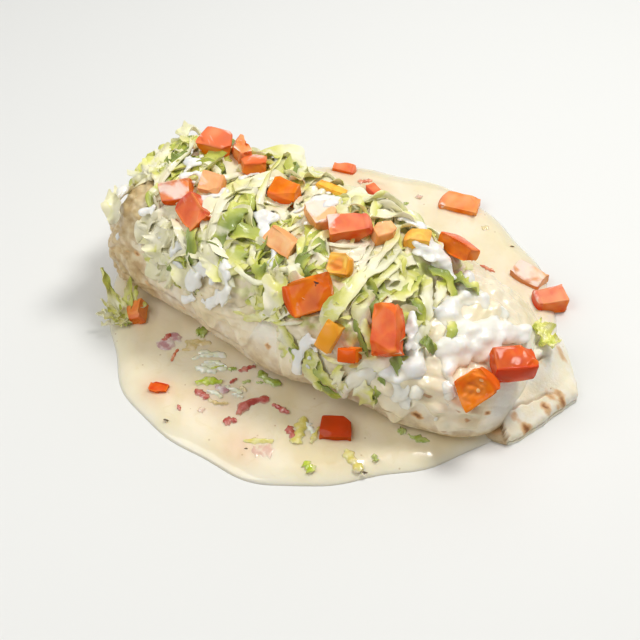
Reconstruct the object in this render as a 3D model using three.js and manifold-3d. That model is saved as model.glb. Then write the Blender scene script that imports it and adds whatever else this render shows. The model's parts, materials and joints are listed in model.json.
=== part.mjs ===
// A burrito in a pool of cheese sauce, under shredded lettuce, diced tomato and sour cream.
// Millimetres, +Z up. +X runs along the roll towards its folded tail, and -Y is its front.
// The origin is on the flat underside of the roll, below its middle.
import * as THREE from "three";
import { mergeVertices } from "three/addons/utils/BufferGeometryUtils.js";
import Module from "manifold-3d";

const wasm = await Module();
wasm.setup();

// ---- Driving dimensions, in millimetres and degrees ---------------------------------------

const GAP = 0.35; // air left between pieces that touch
const QUARTER = Math.PI / 2;

const ROLL = {
  left: -101,
  right: 87,
  front: 41, // half width towards -Y
  back: 37, // half width towards +Y
  height: 50,
  sink: 3, // how far the round section is pressed flat on its underside
  sectionPower: 2.5, // 2 is an ellipse, more is squarer
  endPower: 4.5,
  around: 40,
  along: 30,
};

const TAIL = {
  root: 55, // hidden in the roll
  tip: 105,
  front: -25,
  back: 33,
  corner: 0.62, // where along its edge it reaches furthest
  edge: 6, // thickness along its free edge
  rise: 15, // how much higher it is at its root
  skew: 13, // how far its front corner is set back
  backSlant: 16, // and its back corner
};

const POOL = { x: -5, y: 5, radius: 96.5, level: 3, around: 56 };

const HEAP = {
  left: -95,
  right: 46,
  back: 50, // degrees round the roll
  front: 159,
  height: 5.5,
  rim: 1.8, // its height at its edge
  alongSteps: 16,
  aroundSteps: 9,
};

const SHRED = {
  count: 30,
  tries: 260,
  apart: 10, // between the middles of two shreds
  thick: 1.5,
  shortest: 15,
  longest: 34,
  narrow: 4,
  broad: 8,
  steps: 4,
  skin: 1.3, // height above the tortilla of a shred that lies on it
};

const CREAM = { left: 31, right: 87, back: 58, front: 166, alongSteps: 15, aroundSteps: 14 };
const DRIP = { left: 27, right: 47, back: 146, front: 196, alongSteps: 6, aroundSteps: 8 };

const signedPower = (value, power) => Math.sign(value) * Math.abs(value) ** power;
const bump = (value, centre, spread) => Math.exp(-(((value - centre) / spread) ** 2));
const ramp = (value, from, to) => THREE.MathUtils.smoothstep(value, from, to);
const radians = THREE.MathUtils.degToRad;
const degrees = THREE.MathUtils.radToDeg;
const lerp = THREE.MathUtils.lerp;

// A repeatable draw between 0 and 1.
function seededDraw(seed) {
  let state = seed;
  return () => {
    state = (state * 1664525 + 1013904223) % 4294967296;
    return state / 4294967296;
  };
}

// The k-th place between 0 and 1 of an even spread, counted in the given base.
function evenSpread(k, base) {
  let share = 0;
  let step = 1 / base;
  for (let rest = k + 1; rest > 0; rest = Math.floor(rest / base)) {
    share += (rest % base) * step;
    step /= base;
  }
  return share;
}

// ---- Solids ------------------------------------------------------------------------------

function toSolid(geometry) {
  const bare = new THREE.BufferGeometry();
  bare.setAttribute("position", geometry.getAttribute("position"));
  if (geometry.index) bare.setIndex(geometry.index);
  const merged = mergeVertices(bare, 1e-4);
  const mesh = new wasm.Mesh({
    numProp: 3,
    vertProperties: new Float32Array(merged.attributes.position.array),
    triVerts: new Uint32Array(merged.index.array),
  });
  return new wasm.Manifold(mesh);
}

function toGeometry(solid) {
  const mesh = solid.getMesh();
  const geometry = new THREE.BufferGeometry();
  geometry.setAttribute("position", new THREE.BufferAttribute(mesh.vertProperties, 3));
  geometry.setIndex(new THREE.BufferAttribute(mesh.triVerts, 1));
  geometry.computeVertexNormals();
  return geometry;
}

// The largest piece of a solid that a cut has left in several.
function largest(solid) {
  return solid.decompose().reduce((best, piece) => (piece.volume() > best.volume() ? piece : best));
}

function reshape(geometry, place) {
  const position = geometry.getAttribute("position");
  const point = new THREE.Vector3();
  for (let i = 0; i < position.count; i += 1) {
    place(point.fromBufferAttribute(position, i));
    position.setXYZ(i, point.x, point.y, point.z);
  }
  return geometry;
}

// A closed sheet. place(u, v, side) gives a point of its top (side 1) or underside (side -1), split alike.
function sheet(alongSteps, acrossSteps, place) {
  const row = acrossSteps + 1;
  const layer = row * (alongSteps + 1);
  const positions = [];
  for (const side of [1, -1]) {
    for (let i = 0; i <= alongSteps; i += 1) {
      for (let j = 0; j <= acrossSteps; j += 1) {
        positions.push(...place(i / alongSteps, j / acrossSteps, side).toArray());
      }
    }
  }
  const triangles = [];
  const quad = (a, b, c, d) => triangles.push(a, b, c, a, c, d);
  for (let i = 0; i < alongSteps; i += 1) {
    for (let j = 0; j < acrossSteps; j += 1) {
      const a = i * row + j;
      quad(a, a + row, a + row + 1, a + 1);
      quad(a + layer, a + layer + 1, a + layer + row + 1, a + layer + row);
    }
    const near = i * row;
    const far = near + acrossSteps;
    quad(near, near + layer, near + row + layer, near + row);
    quad(far, far + row, far + row + layer, far + layer);
  }
  for (let j = 0; j < acrossSteps; j += 1) {
    const end = alongSteps * row + j;
    quad(j, j + 1, j + 1 + layer, j + layer);
    quad(end, end + layer, end + 1 + layer, end + 1);
  }
  const geometry = new THREE.BufferGeometry();
  geometry.setAttribute("position", new THREE.Float32BufferAttribute(positions, 3));
  geometry.setIndex(triangles);
  return toSolid(geometry);
}

// A strip along stations { centre, up }, narrower at its two ends. grow makes it larger all round.
function ribbon(stations, width, thickness, grow = 0) {
  const steps = stations.length - 1;
  return sheet(steps, 1, (u, v, side) => {
    const i = Math.round(u * steps);
    const { centre, up } = stations[i];
    const before = stations[Math.max(i - 1, 0)].centre;
    const ahead = stations[Math.min(i + 1, steps)].centre.clone().sub(before).normalize();
    const across = up.clone().cross(ahead).normalize();
    const top = ahead.clone().cross(across);
    const wide = width * (0.4 + 0.6 * Math.sin(Math.PI * u) ** 0.5) + 2 * grow;
    const point = centre.clone().addScaledVector(across, (v - 0.5) * wide);
    if (i === 0) point.addScaledVector(ahead, -grow);
    if (i === steps) point.addScaledVector(ahead, grow);
    return point.addScaledVector(top, side * (thickness / 2 + grow));
  });
}

// ---- The roll ----------------------------------------------------------------------------

// 1 along the middle of the roll, falling to 0 at its two ends.
function endTaper(x, grow) {
  const middle = (ROLL.left + ROLL.right) / 2;
  const half = (ROLL.right - ROLL.left) / 2 + grow;
  const share = Math.min(Math.abs(x - middle) / half, 1);
  return (1 - share ** ROLL.endPower) ** (1 / ROLL.endPower);
}

const frontHalfWidth = (x) => ROLL.front + 7 * bump(x, 8, 45) - 2 * bump(x, -75, 30);
const backHalfWidth = (x) => ROLL.back - 4 * ramp(x, 20, 75);
const rollHeight = (x) => ROLL.height + 2 * bump(x, -85, 30) - 3 * bump(x, -20, 18) - 16 * ramp(x, 0, 88);

// How far the tortilla stands in or out: the step under its free edge, its gathered end's pleats, its dents.
function relief(x, angle) {
  const around = degrees(angle);
  const edge = 204 + 5 * Math.sin(x / 21);
  const step = -1.8 * ramp(around, edge, edge + 7) * (1 - ramp(around, 226, 240));
  const freeEdge = step * ramp(x, -84, -74) * (1 - ramp(x, 20, 34));
  const pleats = 1.3 * Math.sin(angle * 9 + x / 7) * bump(x, -99, 11);
  const frontShare = ramp(around, 120, 165) * (1 - ramp(around, 225, 245));
  const dents = 0.9 * Math.sin(x / 11 + 3 * Math.sin(angle * 2)) * frontShare;
  return freeEdge + pleats + dents;
}

// A point on the roll's skin. angle 0 faces +Y, a quarter turn is the top. grow moves it outwards.
function rollPoint(x, angle, grow = 0, share = 1) {
  const taper = endTaper(x, grow);
  const across = Math.cos(angle);
  const half = across > 0 ? backHalfWidth(x) : frontHalfWidth(x);
  const out = grow + relief(x, angle);
  const wide = (half + out) * taper * share;
  const halfHigh = (rollHeight(x) + ROLL.sink) / 2;
  const high = (halfHigh + out) * taper * share;
  const level = halfHigh * (0.25 + 0.75 * taper) - ROLL.sink;
  const y = wide * signedPower(across, 2 / ROLL.sectionPower);
  const z = level + high * signedPower(Math.sin(angle), 2 / ROLL.sectionPower);
  return new THREE.Vector3(x, y, z);
}

function rollSolid(grow = 0) {
  const tube = new THREE.CylinderGeometry(1, 1, 2, ROLL.around, ROLL.along);
  tube.rotateZ(-QUARTER); // its axis now runs along +X
  const middle = (ROLL.left + ROLL.right) / 2;
  const half = ((ROLL.right - ROLL.left) / 2 + grow) * 0.992;
  const floor = grow > 0 ? -1 : 0;
  reshape(tube, (p) => {
    const station = Math.sin(p.x * QUARTER) * 0.6 + p.x * 0.4;
    const turn = Math.atan2(p.z, p.y);
    const angle = turn < 0 ? turn + 2 * Math.PI : turn;
    p.copy(rollPoint(middle + half * station, angle, grow, Math.hypot(p.y, p.z)));
    p.z = Math.max(p.z, floor);
  });
  return toSolid(tube);
}

// The flattened tail of the wrap: a doubled flap of tortilla that sticks out from under the roll's right end.
function tailSolid(grow = 0) {
  const slab = new THREE.BoxGeometry(1, 1, 1, 8, 12, 3);
  reshape(slab, (p) => {
    const out = p.x + 0.5;
    const across = p.y + 0.5;
    const up = p.z + 0.5;
    const roundCorners = (1 - (2 * across - 1) ** 8) ** 0.25;
    const short = TAIL.skew * Math.max(1 - across / TAIL.corner, 0);
    const slant = TAIL.backSlant * Math.max((across - TAIL.corner) / (1 - TAIL.corner), 0) ** 1.3;
    const tip = TAIL.tip - short - slant + grow;
    const x = lerp(TAIL.root, lerp(TAIL.root, tip, 0.86 + 0.14 * roundCorners), out);
    const y = lerp(TAIL.front - grow, TAIL.back + grow, across);
    const rim = (1 - out ** 10) ** 0.5 * (1 - (2 * across - 1) ** 12) ** 0.5;
    const wave = 0.8 * Math.sin(across * 9 + out * 3) * out;
    const high = TAIL.edge * (0.35 + 0.65 * rim) + TAIL.rise * (1 - out) ** 1.3 + wave * rim + grow;
    p.set(x, y, lerp(grow > 0 ? -1 : 0, high, up));
  });
  return toSolid(slab);
}

const tortilla = rollSolid().add(tailSolid());
const tortillaRoom = rollSolid(GAP).add(tailSolid(GAP));

// The direction straight out of the roll's skin.
function outwards(x, angle) {
  return rollPoint(x, angle, 2).sub(rollPoint(x, angle, 1)).normalize();
}

// A layer lying on the roll, as thick as lift(x, degrees round) says. Where that is nothing, it ends.
function blanket({ left, right, back, front, alongSteps, aroundSteps }, under, lift) {
  return sheet(alongSteps, aroundSteps, (u, v, side) => {
    const x = lerp(left, right, u);
    const around = lerp(front, back, v);
    return rollPoint(x, radians(around), side > 0 ? lift(x, around) : -under);
  });
}

// ---- The tomato dice ----------------------------------------------------------------------

// A die with rounded corners, narrowed towards one end by taper, at the origin.
function dieGeometry([long, wide, high], taper) {
  const power = 8; // a higher power leaves sharper corners
  return reshape(new THREE.BoxGeometry(2, 2, 2, 2, 2, 2), (p) => {
    const corner = (Math.abs(p.x) ** power + Math.abs(p.y) ** power + Math.abs(p.z) ** power) ** (1 / power);
    p.divideScalar(corner);
    p.set((p.x * long) / 2, (p.y * wide * (1 - taper * (p.x + 1) * 0.5)) / 2, (p.z * high) / 2);
  });
}

// The plain box round a die that its neighbours leave free.
function dieRoomGeometry([long, wide, high], taper) {
  return reshape(new THREE.BoxGeometry(2, 2, 2), (p) => {
    const narrow = 1 - taper * (p.x + 1) * 0.5;
    p.set(p.x * (long / 2 + GAP), p.y * ((wide * narrow) / 2 + GAP), p.z * (high / 2 + GAP));
  });
}

function lay(geometry, centre, up, along, { spin = 0, lean = 0, tip = 0 }) {
  const x = along.clone().addScaledVector(up, -along.dot(up)).normalize();
  const y = up.clone().cross(x);
  const turn = new THREE.Matrix4().makeBasis(x, y, up);
  turn.multiply(new THREE.Matrix4().makeRotationZ(radians(spin)));
  turn.multiply(new THREE.Matrix4().makeRotationX(radians(lean)));
  turn.multiply(new THREE.Matrix4().makeRotationY(radians(tip)));
  turn.setPosition(centre);
  return geometry.applyMatrix4(turn);
}

const ALONG = new THREE.Vector3(1, 0, 0);
const UP = new THREE.Vector3(0, 0, 1);
const RED = "#dd4a20";
const ORANGE = "#ee7324";
const PEACH = "#f0a97c";
const AMBER = "#eda23a";

// Dice on the roll: x and degrees round it, height of the middle above the skin, size, and how each one lies.
const DICE = [
  { x: -66, around: 80, lift: 11, size: [16, 12, 9], spin: 20, lean: 18, colour: ORANGE },
  { x: -56, around: 77, lift: 10, size: [15, 11, 9], spin: -35, lean: 10, tip: 12, taper: 0.5, colour: ORANGE },
  { x: -46, around: 82, lift: 9, size: [12, 10, 8], spin: 40, lean: -12, colour: ORANGE },
  { x: -53, around: 98, lift: 10, size: [10, 9, 8], spin: 15, lean: 15, colour: PEACH },
  { x: -64, around: 109, lift: 9, size: [14, 9, 8], spin: 30, lean: 10, colour: ORANGE },
  { x: -51, around: 115, lift: 10, size: [15, 12, 9], spin: -30, lean: 15, taper: 0.2, colour: RED },
  { x: -27, around: 88, lift: 10, size: [12, 11, 9], spin: 10, lean: 20, colour: ORANGE },
  { x: -13, around: 107, lift: 9, size: [15, 9, 8], spin: -10, lean: 12, colour: PEACH },
  { x: -6, around: 91, lift: 10, size: [12, 12, 9], spin: 50, lean: 10, colour: PEACH },
  { x: 7, around: 92, lift: 10, size: [17, 11, 9], spin: 38, lean: 12, taper: 0.2, colour: RED },
  { x: 18, around: 88, lift: 8, size: [10, 8, 8], spin: 60, lean: 10, colour: PEACH },
  { x: 13, around: 107, lift: 8, size: [10, 9, 7], spin: 20, lean: 10, colour: AMBER },
  { x: 10, around: 127, lift: 10, size: [20, 14, 6], spin: 42, lean: 6, colour: ORANGE },
  { x: 41, around: 124, lift: 9, size: [20, 16, 9], spin: -68, lean: 8, taper: 0.25, colour: RED },
  { x: 22, around: 143, lift: 5.5, size: [13, 7, 6], spin: 75, colour: AMBER },
  { x: 31, around: 149, lift: 4.5, size: [9, 6, 6], spin: 20, colour: ORANGE },
  { x: 77, around: 130, lift: 6, size: [17, 14, 9], spin: 55, lean: 10, taper: 0.2, colour: ORANGE },
  { x: 84, around: 103, lift: 6, size: [17, 12, 11], spin: 35, tip: 15, colour: RED },
  { x: 44, around: 67, lift: 8, size: [18, 12, 7], spin: -30, lean: -8, taper: 0.6, colour: ORANGE },
  { x: 30, around: 80, lift: 7, size: [11, 9, 7], spin: 10, colour: AMBER },
  { x: -13, around: 74, lift: 8, size: [13, 6, 6], spin: 5, colour: AMBER },
];

// Dice in the pool: x, y, height of the middle, size, and how each one lies.
const POOL_DICE = [
  { x: 31, y: -54, z: 3.4, size: [13, 11, 6], spin: 30, colour: RED },
  { x: 12, y: 91, z: 3.4, size: [19, 11, 6], spin: 8, colour: ORANGE },
  { x: -41, y: -72, z: 2.6, size: [8, 6, 5], spin: 20, taper: 0.4, colour: RED },
  { x: -72, y: -44, z: 6.5, size: [10, 8, 7], spin: -60, lean: 25, taper: 0.4, colour: ORANGE },
  { x: 59, y: 64, z: 3.6, size: [15, 11, 6], spin: -10, colour: PEACH },
  { x: 73, y: 55, z: 4, size: [14, 11, 8], spin: 40, colour: RED },
  { x: -47, y: 86, z: 3, size: [11, 6, 5], spin: 15, colour: RED },
  { x: -26, y: 79, z: 3, size: [10, 6, 5], spin: -25, colour: RED },
];

function layOnRoll(geometry, { x, around, lift, ...lie }) {
  const angle = radians(around);
  return toSolid(lay(geometry, rollPoint(x, angle, lift), outwards(x, angle), ALONG, lie));
}

function layInPool(geometry, { x, y, z, ...lie }) {
  return toSolid(lay(geometry, new THREE.Vector3(x, y, z), UP, ALONG, lie));
}

const dice = [
  ...DICE.map((die) => ({ die, layDown: layOnRoll })),
  ...POOL_DICE.map((die) => ({ die, layDown: layInPool })),
].map(({ die, layDown }) => {
  const taper = die.taper ?? 0;
  return {
    colour: die.colour,
    solid: layDown(dieGeometry(die.size, taper), die),
    room: layDown(dieRoomGeometry(die.size, taper), die),
  };
});
const diceRoom = dice.map(({ room }) => room);
const withoutDice = (solid) => diceRoom.reduce((rest, die) => rest.subtract(die), solid);

// ---- The sauce pool -----------------------------------------------------------------------

function poolRadius(turn) {
  const around = degrees(turn);
  const flats = 5.5 * bump(around, -42, 20) + 2.5 * bump(around, 46, 24) + 1.5 * bump(around, -138, 16);
  const lobes = 0.9 * Math.sin(turn * 9 + 1) + 0.6 * Math.sin(turn * 17);
  return POOL.radius - flats + lobes;
}

function poolSolid(grow = 0) {
  const profile = [[0, 0], [1, 0], [0.99, 1.6], [0.965, 2.7], [0.93, 3], [0, 3]];
  const points = profile.map(([share, z]) => new THREE.Vector2(share, z));
  const disc = new THREE.LatheGeometry(points, POOL.around);
  disc.rotateX(QUARTER);
  reshape(disc, (p) => {
    const reach = Math.hypot(p.x, p.y) * (poolRadius(Math.atan2(p.y, p.x)) + grow);
    const turn = Math.atan2(p.y, p.x);
    const z = (p.z / 3) * POOL.level + (p.z > 0.1 ? grow : -grow);
    p.set(POOL.x + reach * Math.cos(turn), POOL.y + reach * Math.sin(turn), z);
  });
  return toSolid(disc);
}

// A flat strip curved in the pool's surface: where it starts, its heading and turn in degrees, and its size.
function poolStrip({ x, y, heading, turn = 0, long, wide, proud }) {
  const steps = turn === 0 ? 2 : 4;
  const stations = [];
  const centre = new THREE.Vector3(x, y, POOL.level + proud - 1);
  for (let i = 0; i <= steps; i += 1) {
    stations.push({ centre: centre.clone(), up: UP });
    const way = radians(heading + turn * (i / steps));
    centre.x += (Math.cos(way) * long) / steps;
    centre.y += (Math.sin(way) * long) / steps;
  }
  return ribbon(stations, wide, 2);
}

const POOL_BITS = [
  { x: -56, y: -51, heading: 35, long: 9, wide: 7, proud: 0.6 },
  { x: -50, y: -55, heading: 60, long: 8, wide: 2.5, proud: 0.4 },
  { x: -28, y: -67, heading: -10, long: 8, wide: 4, proud: 0.5 },
  { x: -22, y: -58, heading: 20, long: 8, wide: 4.5, proud: 0.6 },
  { x: -21, y: -45, heading: 25, long: 9, wide: 4, proud: 0.5 },
  { x: -14, y: -72, heading: 80, turn: -75, long: 24, wide: 5, proud: 0.8 },
  { x: 5, y: -52, heading: -40, long: 9, wide: 4, proud: 0.5 },
  { x: -11, y: -72, heading: 20, long: 7, wide: 4, proud: 0.4 },
  { x: 13, y: -62, heading: -20, long: 7, wide: 4, proud: 0.6 },
  { x: 6, y: -80, heading: 30, long: 12, wide: 9, proud: 0.3 },
  { x: -49, y: -35, heading: 10, long: 8, wide: 6, proud: 0.8 },
  { x: -30, y: -57, heading: 5, long: 11, wide: 3.5, proud: 1 },
  { x: -36, y: -52, heading: 10, turn: -40, long: 22, wide: 6, proud: 0.9 },
  { x: -30, y: -46, heading: 25, turn: -50, long: 20, wide: 5, proud: 0.9 },
  { x: -12, y: -47, heading: 60, turn: 60, long: 10, wide: 4, proud: 0.7 },
  { x: 17, y: -66, heading: 60, turn: 50, long: 14, wide: 6, proud: 1 },
  { x: 29, y: -77, heading: 70, long: 7, wide: 4.5, proud: 0.6 },
  { x: 41, y: -60, heading: -30, turn: -50, long: 12, wide: 5, proud: 0.8 },
  { x: 53, y: -40, heading: -10, turn: 20, long: 13, wide: 5, proud: 0.6 },
  { x: 33, y: 62, heading: -15, long: 9, wide: 4, proud: 0.4 },
  { x: -8, y: 66, heading: 20, turn: -30, long: 13, wide: 5, proud: 0.6 },
];

const pool = poolSolid();
const garnishedPool = POOL_BITS.reduce((sum, bit) => sum.add(poolStrip(bit)), pool);
const sauce = withoutDice(garnishedPool.subtract(tortillaRoom));
const [sauceFront, sauceBack] = [-1, 1].map((side) => {
  const half = sauce.decompose().filter((piece) => {
    const box = piece.boundingBox();
    return Math.sign(box.min[1] + box.max[1]) === side;
  });
  return half.reduce((best, piece) => (piece.volume() > best.volume() ? piece : best));
});

// ---- The lettuce --------------------------------------------------------------------------

const heapFront = (x) => HEAP.front + 7 * Math.sin(x / 9) + 4 * Math.sin(x / 4.3 + 1) - 14 * ramp(x, 18, 44);
const heapBack = (x) => HEAP.back + 5 * Math.sin(x / 12);

// How high the heap's core stands above the skin at a place on the roll.
function heapHeight(x, around) {
  const alongShare = ramp(x, HEAP.left - 2, HEAP.left + 12) * (1 - ramp(x, HEAP.right - 22, HEAP.right + 2));
  const frontShare = 1 - ramp(around, heapFront(x) - 32, heapFront(x) + 4);
  const aroundShare = ramp(around, heapBack(x) - 4, heapBack(x) + 24) * frontShare;
  const lumps = 1 + 0.2 * Math.sin(x / 5.5 + around / 12) + 0.15 * Math.sin(x / 8.3 - around / 9);
  return HEAP.rim + HEAP.height * alongShare * aroundShare * lumps;
}

function heapCore(grow) {
  return sheet(HEAP.alongSteps, HEAP.aroundSteps, (u, v, side) => {
    const x = lerp(HEAP.left + 3 * Math.sin(v * 11) - grow, HEAP.right + 4 * Math.sin(v * 8) + grow, u);
    const around = lerp(heapFront(x) + grow, heapBack(x) - grow, v);
    const under = grow > 0 ? -1 : 1;
    return rollPoint(x, radians(around), side > 0 ? heapHeight(x, around) + grow : under);
  });
}

// A shred on the heap: it starts at x and around, runs with a heading on the skin, arches up and twists.
function shredStations({ x, around, heading, turn, long, arch, twist }) {
  const skinRadius = 34; // degrees round the roll become millimetres with this
  const stations = [];
  let [atX, atAngle] = [x, radians(around)];
  for (let i = 0; i <= SHRED.steps; i += 1) {
    const share = i / SHRED.steps;
    const above = (2.4 + arch) * Math.sin(Math.PI * share) - 1.2;
    const covered = atX > HEAP.left && atX < HEAP.right && degrees(atAngle) < heapFront(atX);
    const height = covered ? Math.max(heapHeight(atX, degrees(atAngle)) + above, 1.8) : SHRED.skin;
    const up = outwards(atX, atAngle);
    const way = radians(heading + turn * share);
    const forward = new THREE.Vector3(Math.cos(way), 0, 0);
    forward.addScaledVector(up.clone().cross(ALONG), Math.sin(way)).normalize();
    up.applyAxisAngle(forward, radians(twist) * Math.sin(Math.PI * 2 * share + 0.7));
    stations.push({ centre: rollPoint(atX, atAngle, height), up });
    atX += (Math.cos(way) * long) / SHRED.steps;
    atAngle -= (Math.sin(way) * long) / SHRED.steps / skinRadius;
  }
  return stations;
}

const diceSpots = DICE.map(({ x, around, lift, size }) => {
  return { centre: rollPoint(x, radians(around), lift), reach: (size[0] + size[1]) / 4 };
});

// Shreds spread over the heap, leaving out any that would cross a die or leave the roll.
function scatteredShreds() {
  const draw = seededDraw(20);
  const between = (low, high) => low + (high - low) * draw();
  const shreds = [];
  const middles = [];
  for (let k = 0; k < SHRED.tries && shreds.length < SHRED.count; k += 1) {
    const shred = {
      x: lerp(HEAP.left + 4, HEAP.right - 10, evenSpread(k, 2)),
      around: lerp(HEAP.back + 10, HEAP.front - 10, evenSpread(k, 3)),
      heading: between(-70, 60) + (draw() < 0.4 ? 180 : 0),
      turn: between(-90, 90),
      long: between(SHRED.shortest, SHRED.longest),
      wide: between(SHRED.narrow, SHRED.broad),
      arch: between(0.5, 4),
      twist: between(-30, 30),
    };
    const stations = shredStations(shred);
    const middle = stations[SHRED.steps / 2].centre;
    const crosses = stations.some(({ centre }) => {
      return diceSpots.some((die) => die.centre.distanceTo(centre) < die.reach + shred.wide / 2);
    });
    const strays = stations.some(({ centre }) => centre.x < HEAP.left - 2 || centre.x > HEAP.right + 6);
    if (crosses || strays || middles.some((other) => other.distanceTo(middle) < SHRED.apart)) continue;
    middles.push(middle);
    shreds.push(shred);
  }
  return shreds;
}

// Strands that hang out of the heap down the roll's front.
const STRANDS = [
  { x: -62, around: 150, heading: -70, turn: -20, long: 26, wide: 6, arch: 0.6, twist: 8 },
  { x: -44, around: 158, heading: -80, turn: 15, long: 18, wide: 5, arch: 0.5, twist: 6 },
  { x: 3, around: 158, heading: -95, turn: 25, long: 24, wide: 5.5, arch: 0.5, twist: 8 },
  { x: 10, around: 156, heading: -78, turn: -15, long: 27, wide: 6.5, arch: 0.6, twist: 8 },
  { x: 37, around: 150, heading: -75, turn: -25, long: 24, wide: 4.5, arch: 0.6, twist: 10 },
];

// Thick dribbles of cream over the shreds.
const DRIBBLES = [
  { x: -45, around: 136, heading: -50, turn: 70, long: 22, wide: 6, arch: 1.5, twist: 0 },
  { x: -36, around: 140, heading: -40, turn: -60, long: 24, wide: 5, arch: 1.2, twist: 0 },
  { x: -66, around: 132, heading: -60, turn: 50, long: 18, wide: 5, arch: 1, twist: 0 },
  { x: -60, around: 88, heading: -30, turn: -70, long: 22, wide: 7, arch: 1.5, twist: 0 },
  { x: -16, around: 98, heading: -20, turn: 70, long: 18, wide: 6, arch: 1.5, twist: 0 },
];

function lettuceSolid(grow = 0) {
  const shreds = scatteredShreds().map((shred) => ribbon(shredStations(shred), shred.wide, SHRED.thick, grow));
  const dribbles = DRIBBLES.map((line) => ribbon(shredStations(line), line.wide, 3, grow));
  return [...shreds, ...dribbles].reduce((sum, piece) => sum.add(piece), heapCore(grow));
}

const poolRoom = poolSolid(GAP);
const lettuce = largest(withoutDice(lettuceSolid().subtract(tortillaRoom).subtract(poolRoom)));
const lettuceRoom = lettuceSolid(GAP);

const strandSolid = (strand, grow = 0) => ribbon(shredStations(strand), strand.wide, SHRED.thick, grow);
const strands = STRANDS.map((strand) => {
  const clear = withoutDice(strandSolid(strand)).subtract(tortillaRoom).subtract(poolRoom);
  return largest(clear.subtract(lettuceRoom));
});

// A tuft in the pool against the roll's left end: shreds that fan up from one foot.
function tuftSolid() {
  const blades = [
    { lean: 155, rise: 62, long: 26, wide: 5 },
    { lean: 100, rise: 40, long: 18, wide: 7 },
    { lean: 215, rise: 30, long: 15, wide: 6 },
    { lean: 60, rise: 30, long: 14, wide: 6 },
  ];
  const foot = new THREE.Vector3(-75, -49, POOL.level + 1.6);
  const solids = blades.map(({ lean, rise, long, wide }) => {
    const way = new THREE.Vector3(Math.cos(radians(lean)), Math.sin(radians(lean)), 0);
    const stations = [];
    for (let i = 0; i <= 4; i += 1) {
      const reach = (i / 4) * long - 3;
      const climb = radians(rise) * ramp(i, -1, 4);
      const centre = foot.clone().addScaledVector(way, reach * Math.cos(climb));
      centre.z += Math.max(reach, 0) * Math.sin(climb);
      const up = UP.clone().multiplyScalar(Math.cos(climb)).addScaledVector(way, -Math.sin(climb));
      stations.push({ centre, up });
    }
    return ribbon(stations, wide, SHRED.thick);
  });
  return solids.reduce((sum, blade) => sum.add(blade));
}

// ---- The sour cream -----------------------------------------------------------------------

// Lumps: x, degrees round the roll, radius along and around in millimetres, height.
const LUMPS = [
  [65, 92, 11, 10, 6.5], [74, 90, 9, 9, 6], [78, 74, 9, 7, 4.5], [60, 104, 9, 9, 6], [55, 88, 9, 9, 5],
  [49, 96, 8, 9, 5], [69, 106, 9, 8, 5], [60, 117, 8, 9, 5], [50, 112, 9, 10, 4.5], [52, 137, 8, 8, 5],
  [50, 150, 7, 8, 4], [62, 128, 8, 9, 4], [44, 121, 9, 12, 4], [43, 146, 8, 9, 3], [60, 143, 8, 9, 2.5],
  [70, 122, 9, 9, 2.5], [50, 76, 9, 8, 3.5], [38, 112, 6, 9, 3.5],
];

// The drip that runs down from them.
const DRIP_LUMPS = [[39, 159, 6.5, 8, 3], [36, 169, 5.5, 8, 2.8], [33, 181, 5, 8, 2.4]];

function creamHeight(lumps, x, around) {
  const skinRadius = 28;
  let height = -2;
  for (const [lumpX, lumpAround, alongRadius, aroundRadius, rise] of lumps) {
    const across = (radians(around - lumpAround) * skinRadius) / aroundRadius;
    const away = Math.hypot((x - lumpX) / alongRadius, across);
    if (away < 1) height = Math.max(height, rise * (1 - away ** 2.4));
  }
  return height;
}

function creamSolid(range, lumps) {
  const layer = blanket(range, 1.5, (x, around) => creamHeight(lumps, x, around));
  const clear = withoutDice(layer.subtract(tortillaRoom)).subtract(lettuceRoom);
  return strandRooms.reduce((rest, room) => rest.subtract(room), clear);
}

const strandRooms = STRANDS.map((strand) => strandSolid(strand, GAP));
const sourCream = largest(creamSolid(CREAM, LUMPS));
const creamRoom = blanket(CREAM, 2, (x, around) => creamHeight(LUMPS, x, around) + GAP);
const creamDrip = largest(creamSolid(DRIP, DRIP_LUMPS).subtract(creamRoom));

// A frilly scrap of lettuce in the crease beside the last die.
function frillSolid() {
  const stations = [];
  for (let i = 0; i <= 5; i += 1) {
    const share = i / 5;
    const centre = new THREE.Vector3(80 + 12 * share, 21 - 7 * share, 23 + 2.5 * Math.sin(share * 7));
    stations.push({ centre, up: new THREE.Vector3(0.2, 0.5 * Math.sin(share * 9), 1).normalize() });
  }
  return ribbon(stations, 8, SHRED.thick);
}

// ---- The part -----------------------------------------------------------------------------

const part = new THREE.Group();

function add(name, solid, look) {
  const mesh = new THREE.Mesh(toGeometry(solid), new THREE.MeshStandardMaterial(look));
  mesh.name = name;
  part.add(mesh);
}

add("tortilla", tortilla, { color: "#e3d3b4", roughness: 0.6 });
add("sauce_front", sauceFront, { color: "#ecdfbc", roughness: 0.25 });
add("sauce_back", sauceBack, { color: "#ecdfbc", roughness: 0.25 });
add("lettuce", lettuce, { color: "#cfdc92", roughness: 0.45 });
add("lettuce_tuft", largest(withoutDice(tuftSolid()).subtract(tortillaRoom).subtract(poolRoom)), {
  color: "#c3d36e",
  roughness: 0.45,
});
strands.forEach((strand, i) => add(`lettuce_strand_${i + 1}`, strand, { color: "#b9d070", roughness: 0.45 }));
add("sour_cream", sourCream, { color: "#f7f5ee", roughness: 0.3 });
add("cream_drip", creamDrip, { color: "#f7f5ee", roughness: 0.3 });

const taken = [tortillaRoom];
dice.forEach(({ colour, solid, room }, i) => {
  const name = `tomato_${String(i + 1).padStart(2, "0")}`;
  add(name, largest(taken.reduce((rest, other) => rest.subtract(other), solid)), { color: colour, roughness: 0.35 });
  taken.push(room);
});

const frill = taken.reduce((rest, room) => rest.subtract(room), frillSolid());
add("lettuce_frill", largest(frill), { color: "#d3da55", roughness: 0.45 });

export default part;
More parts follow.
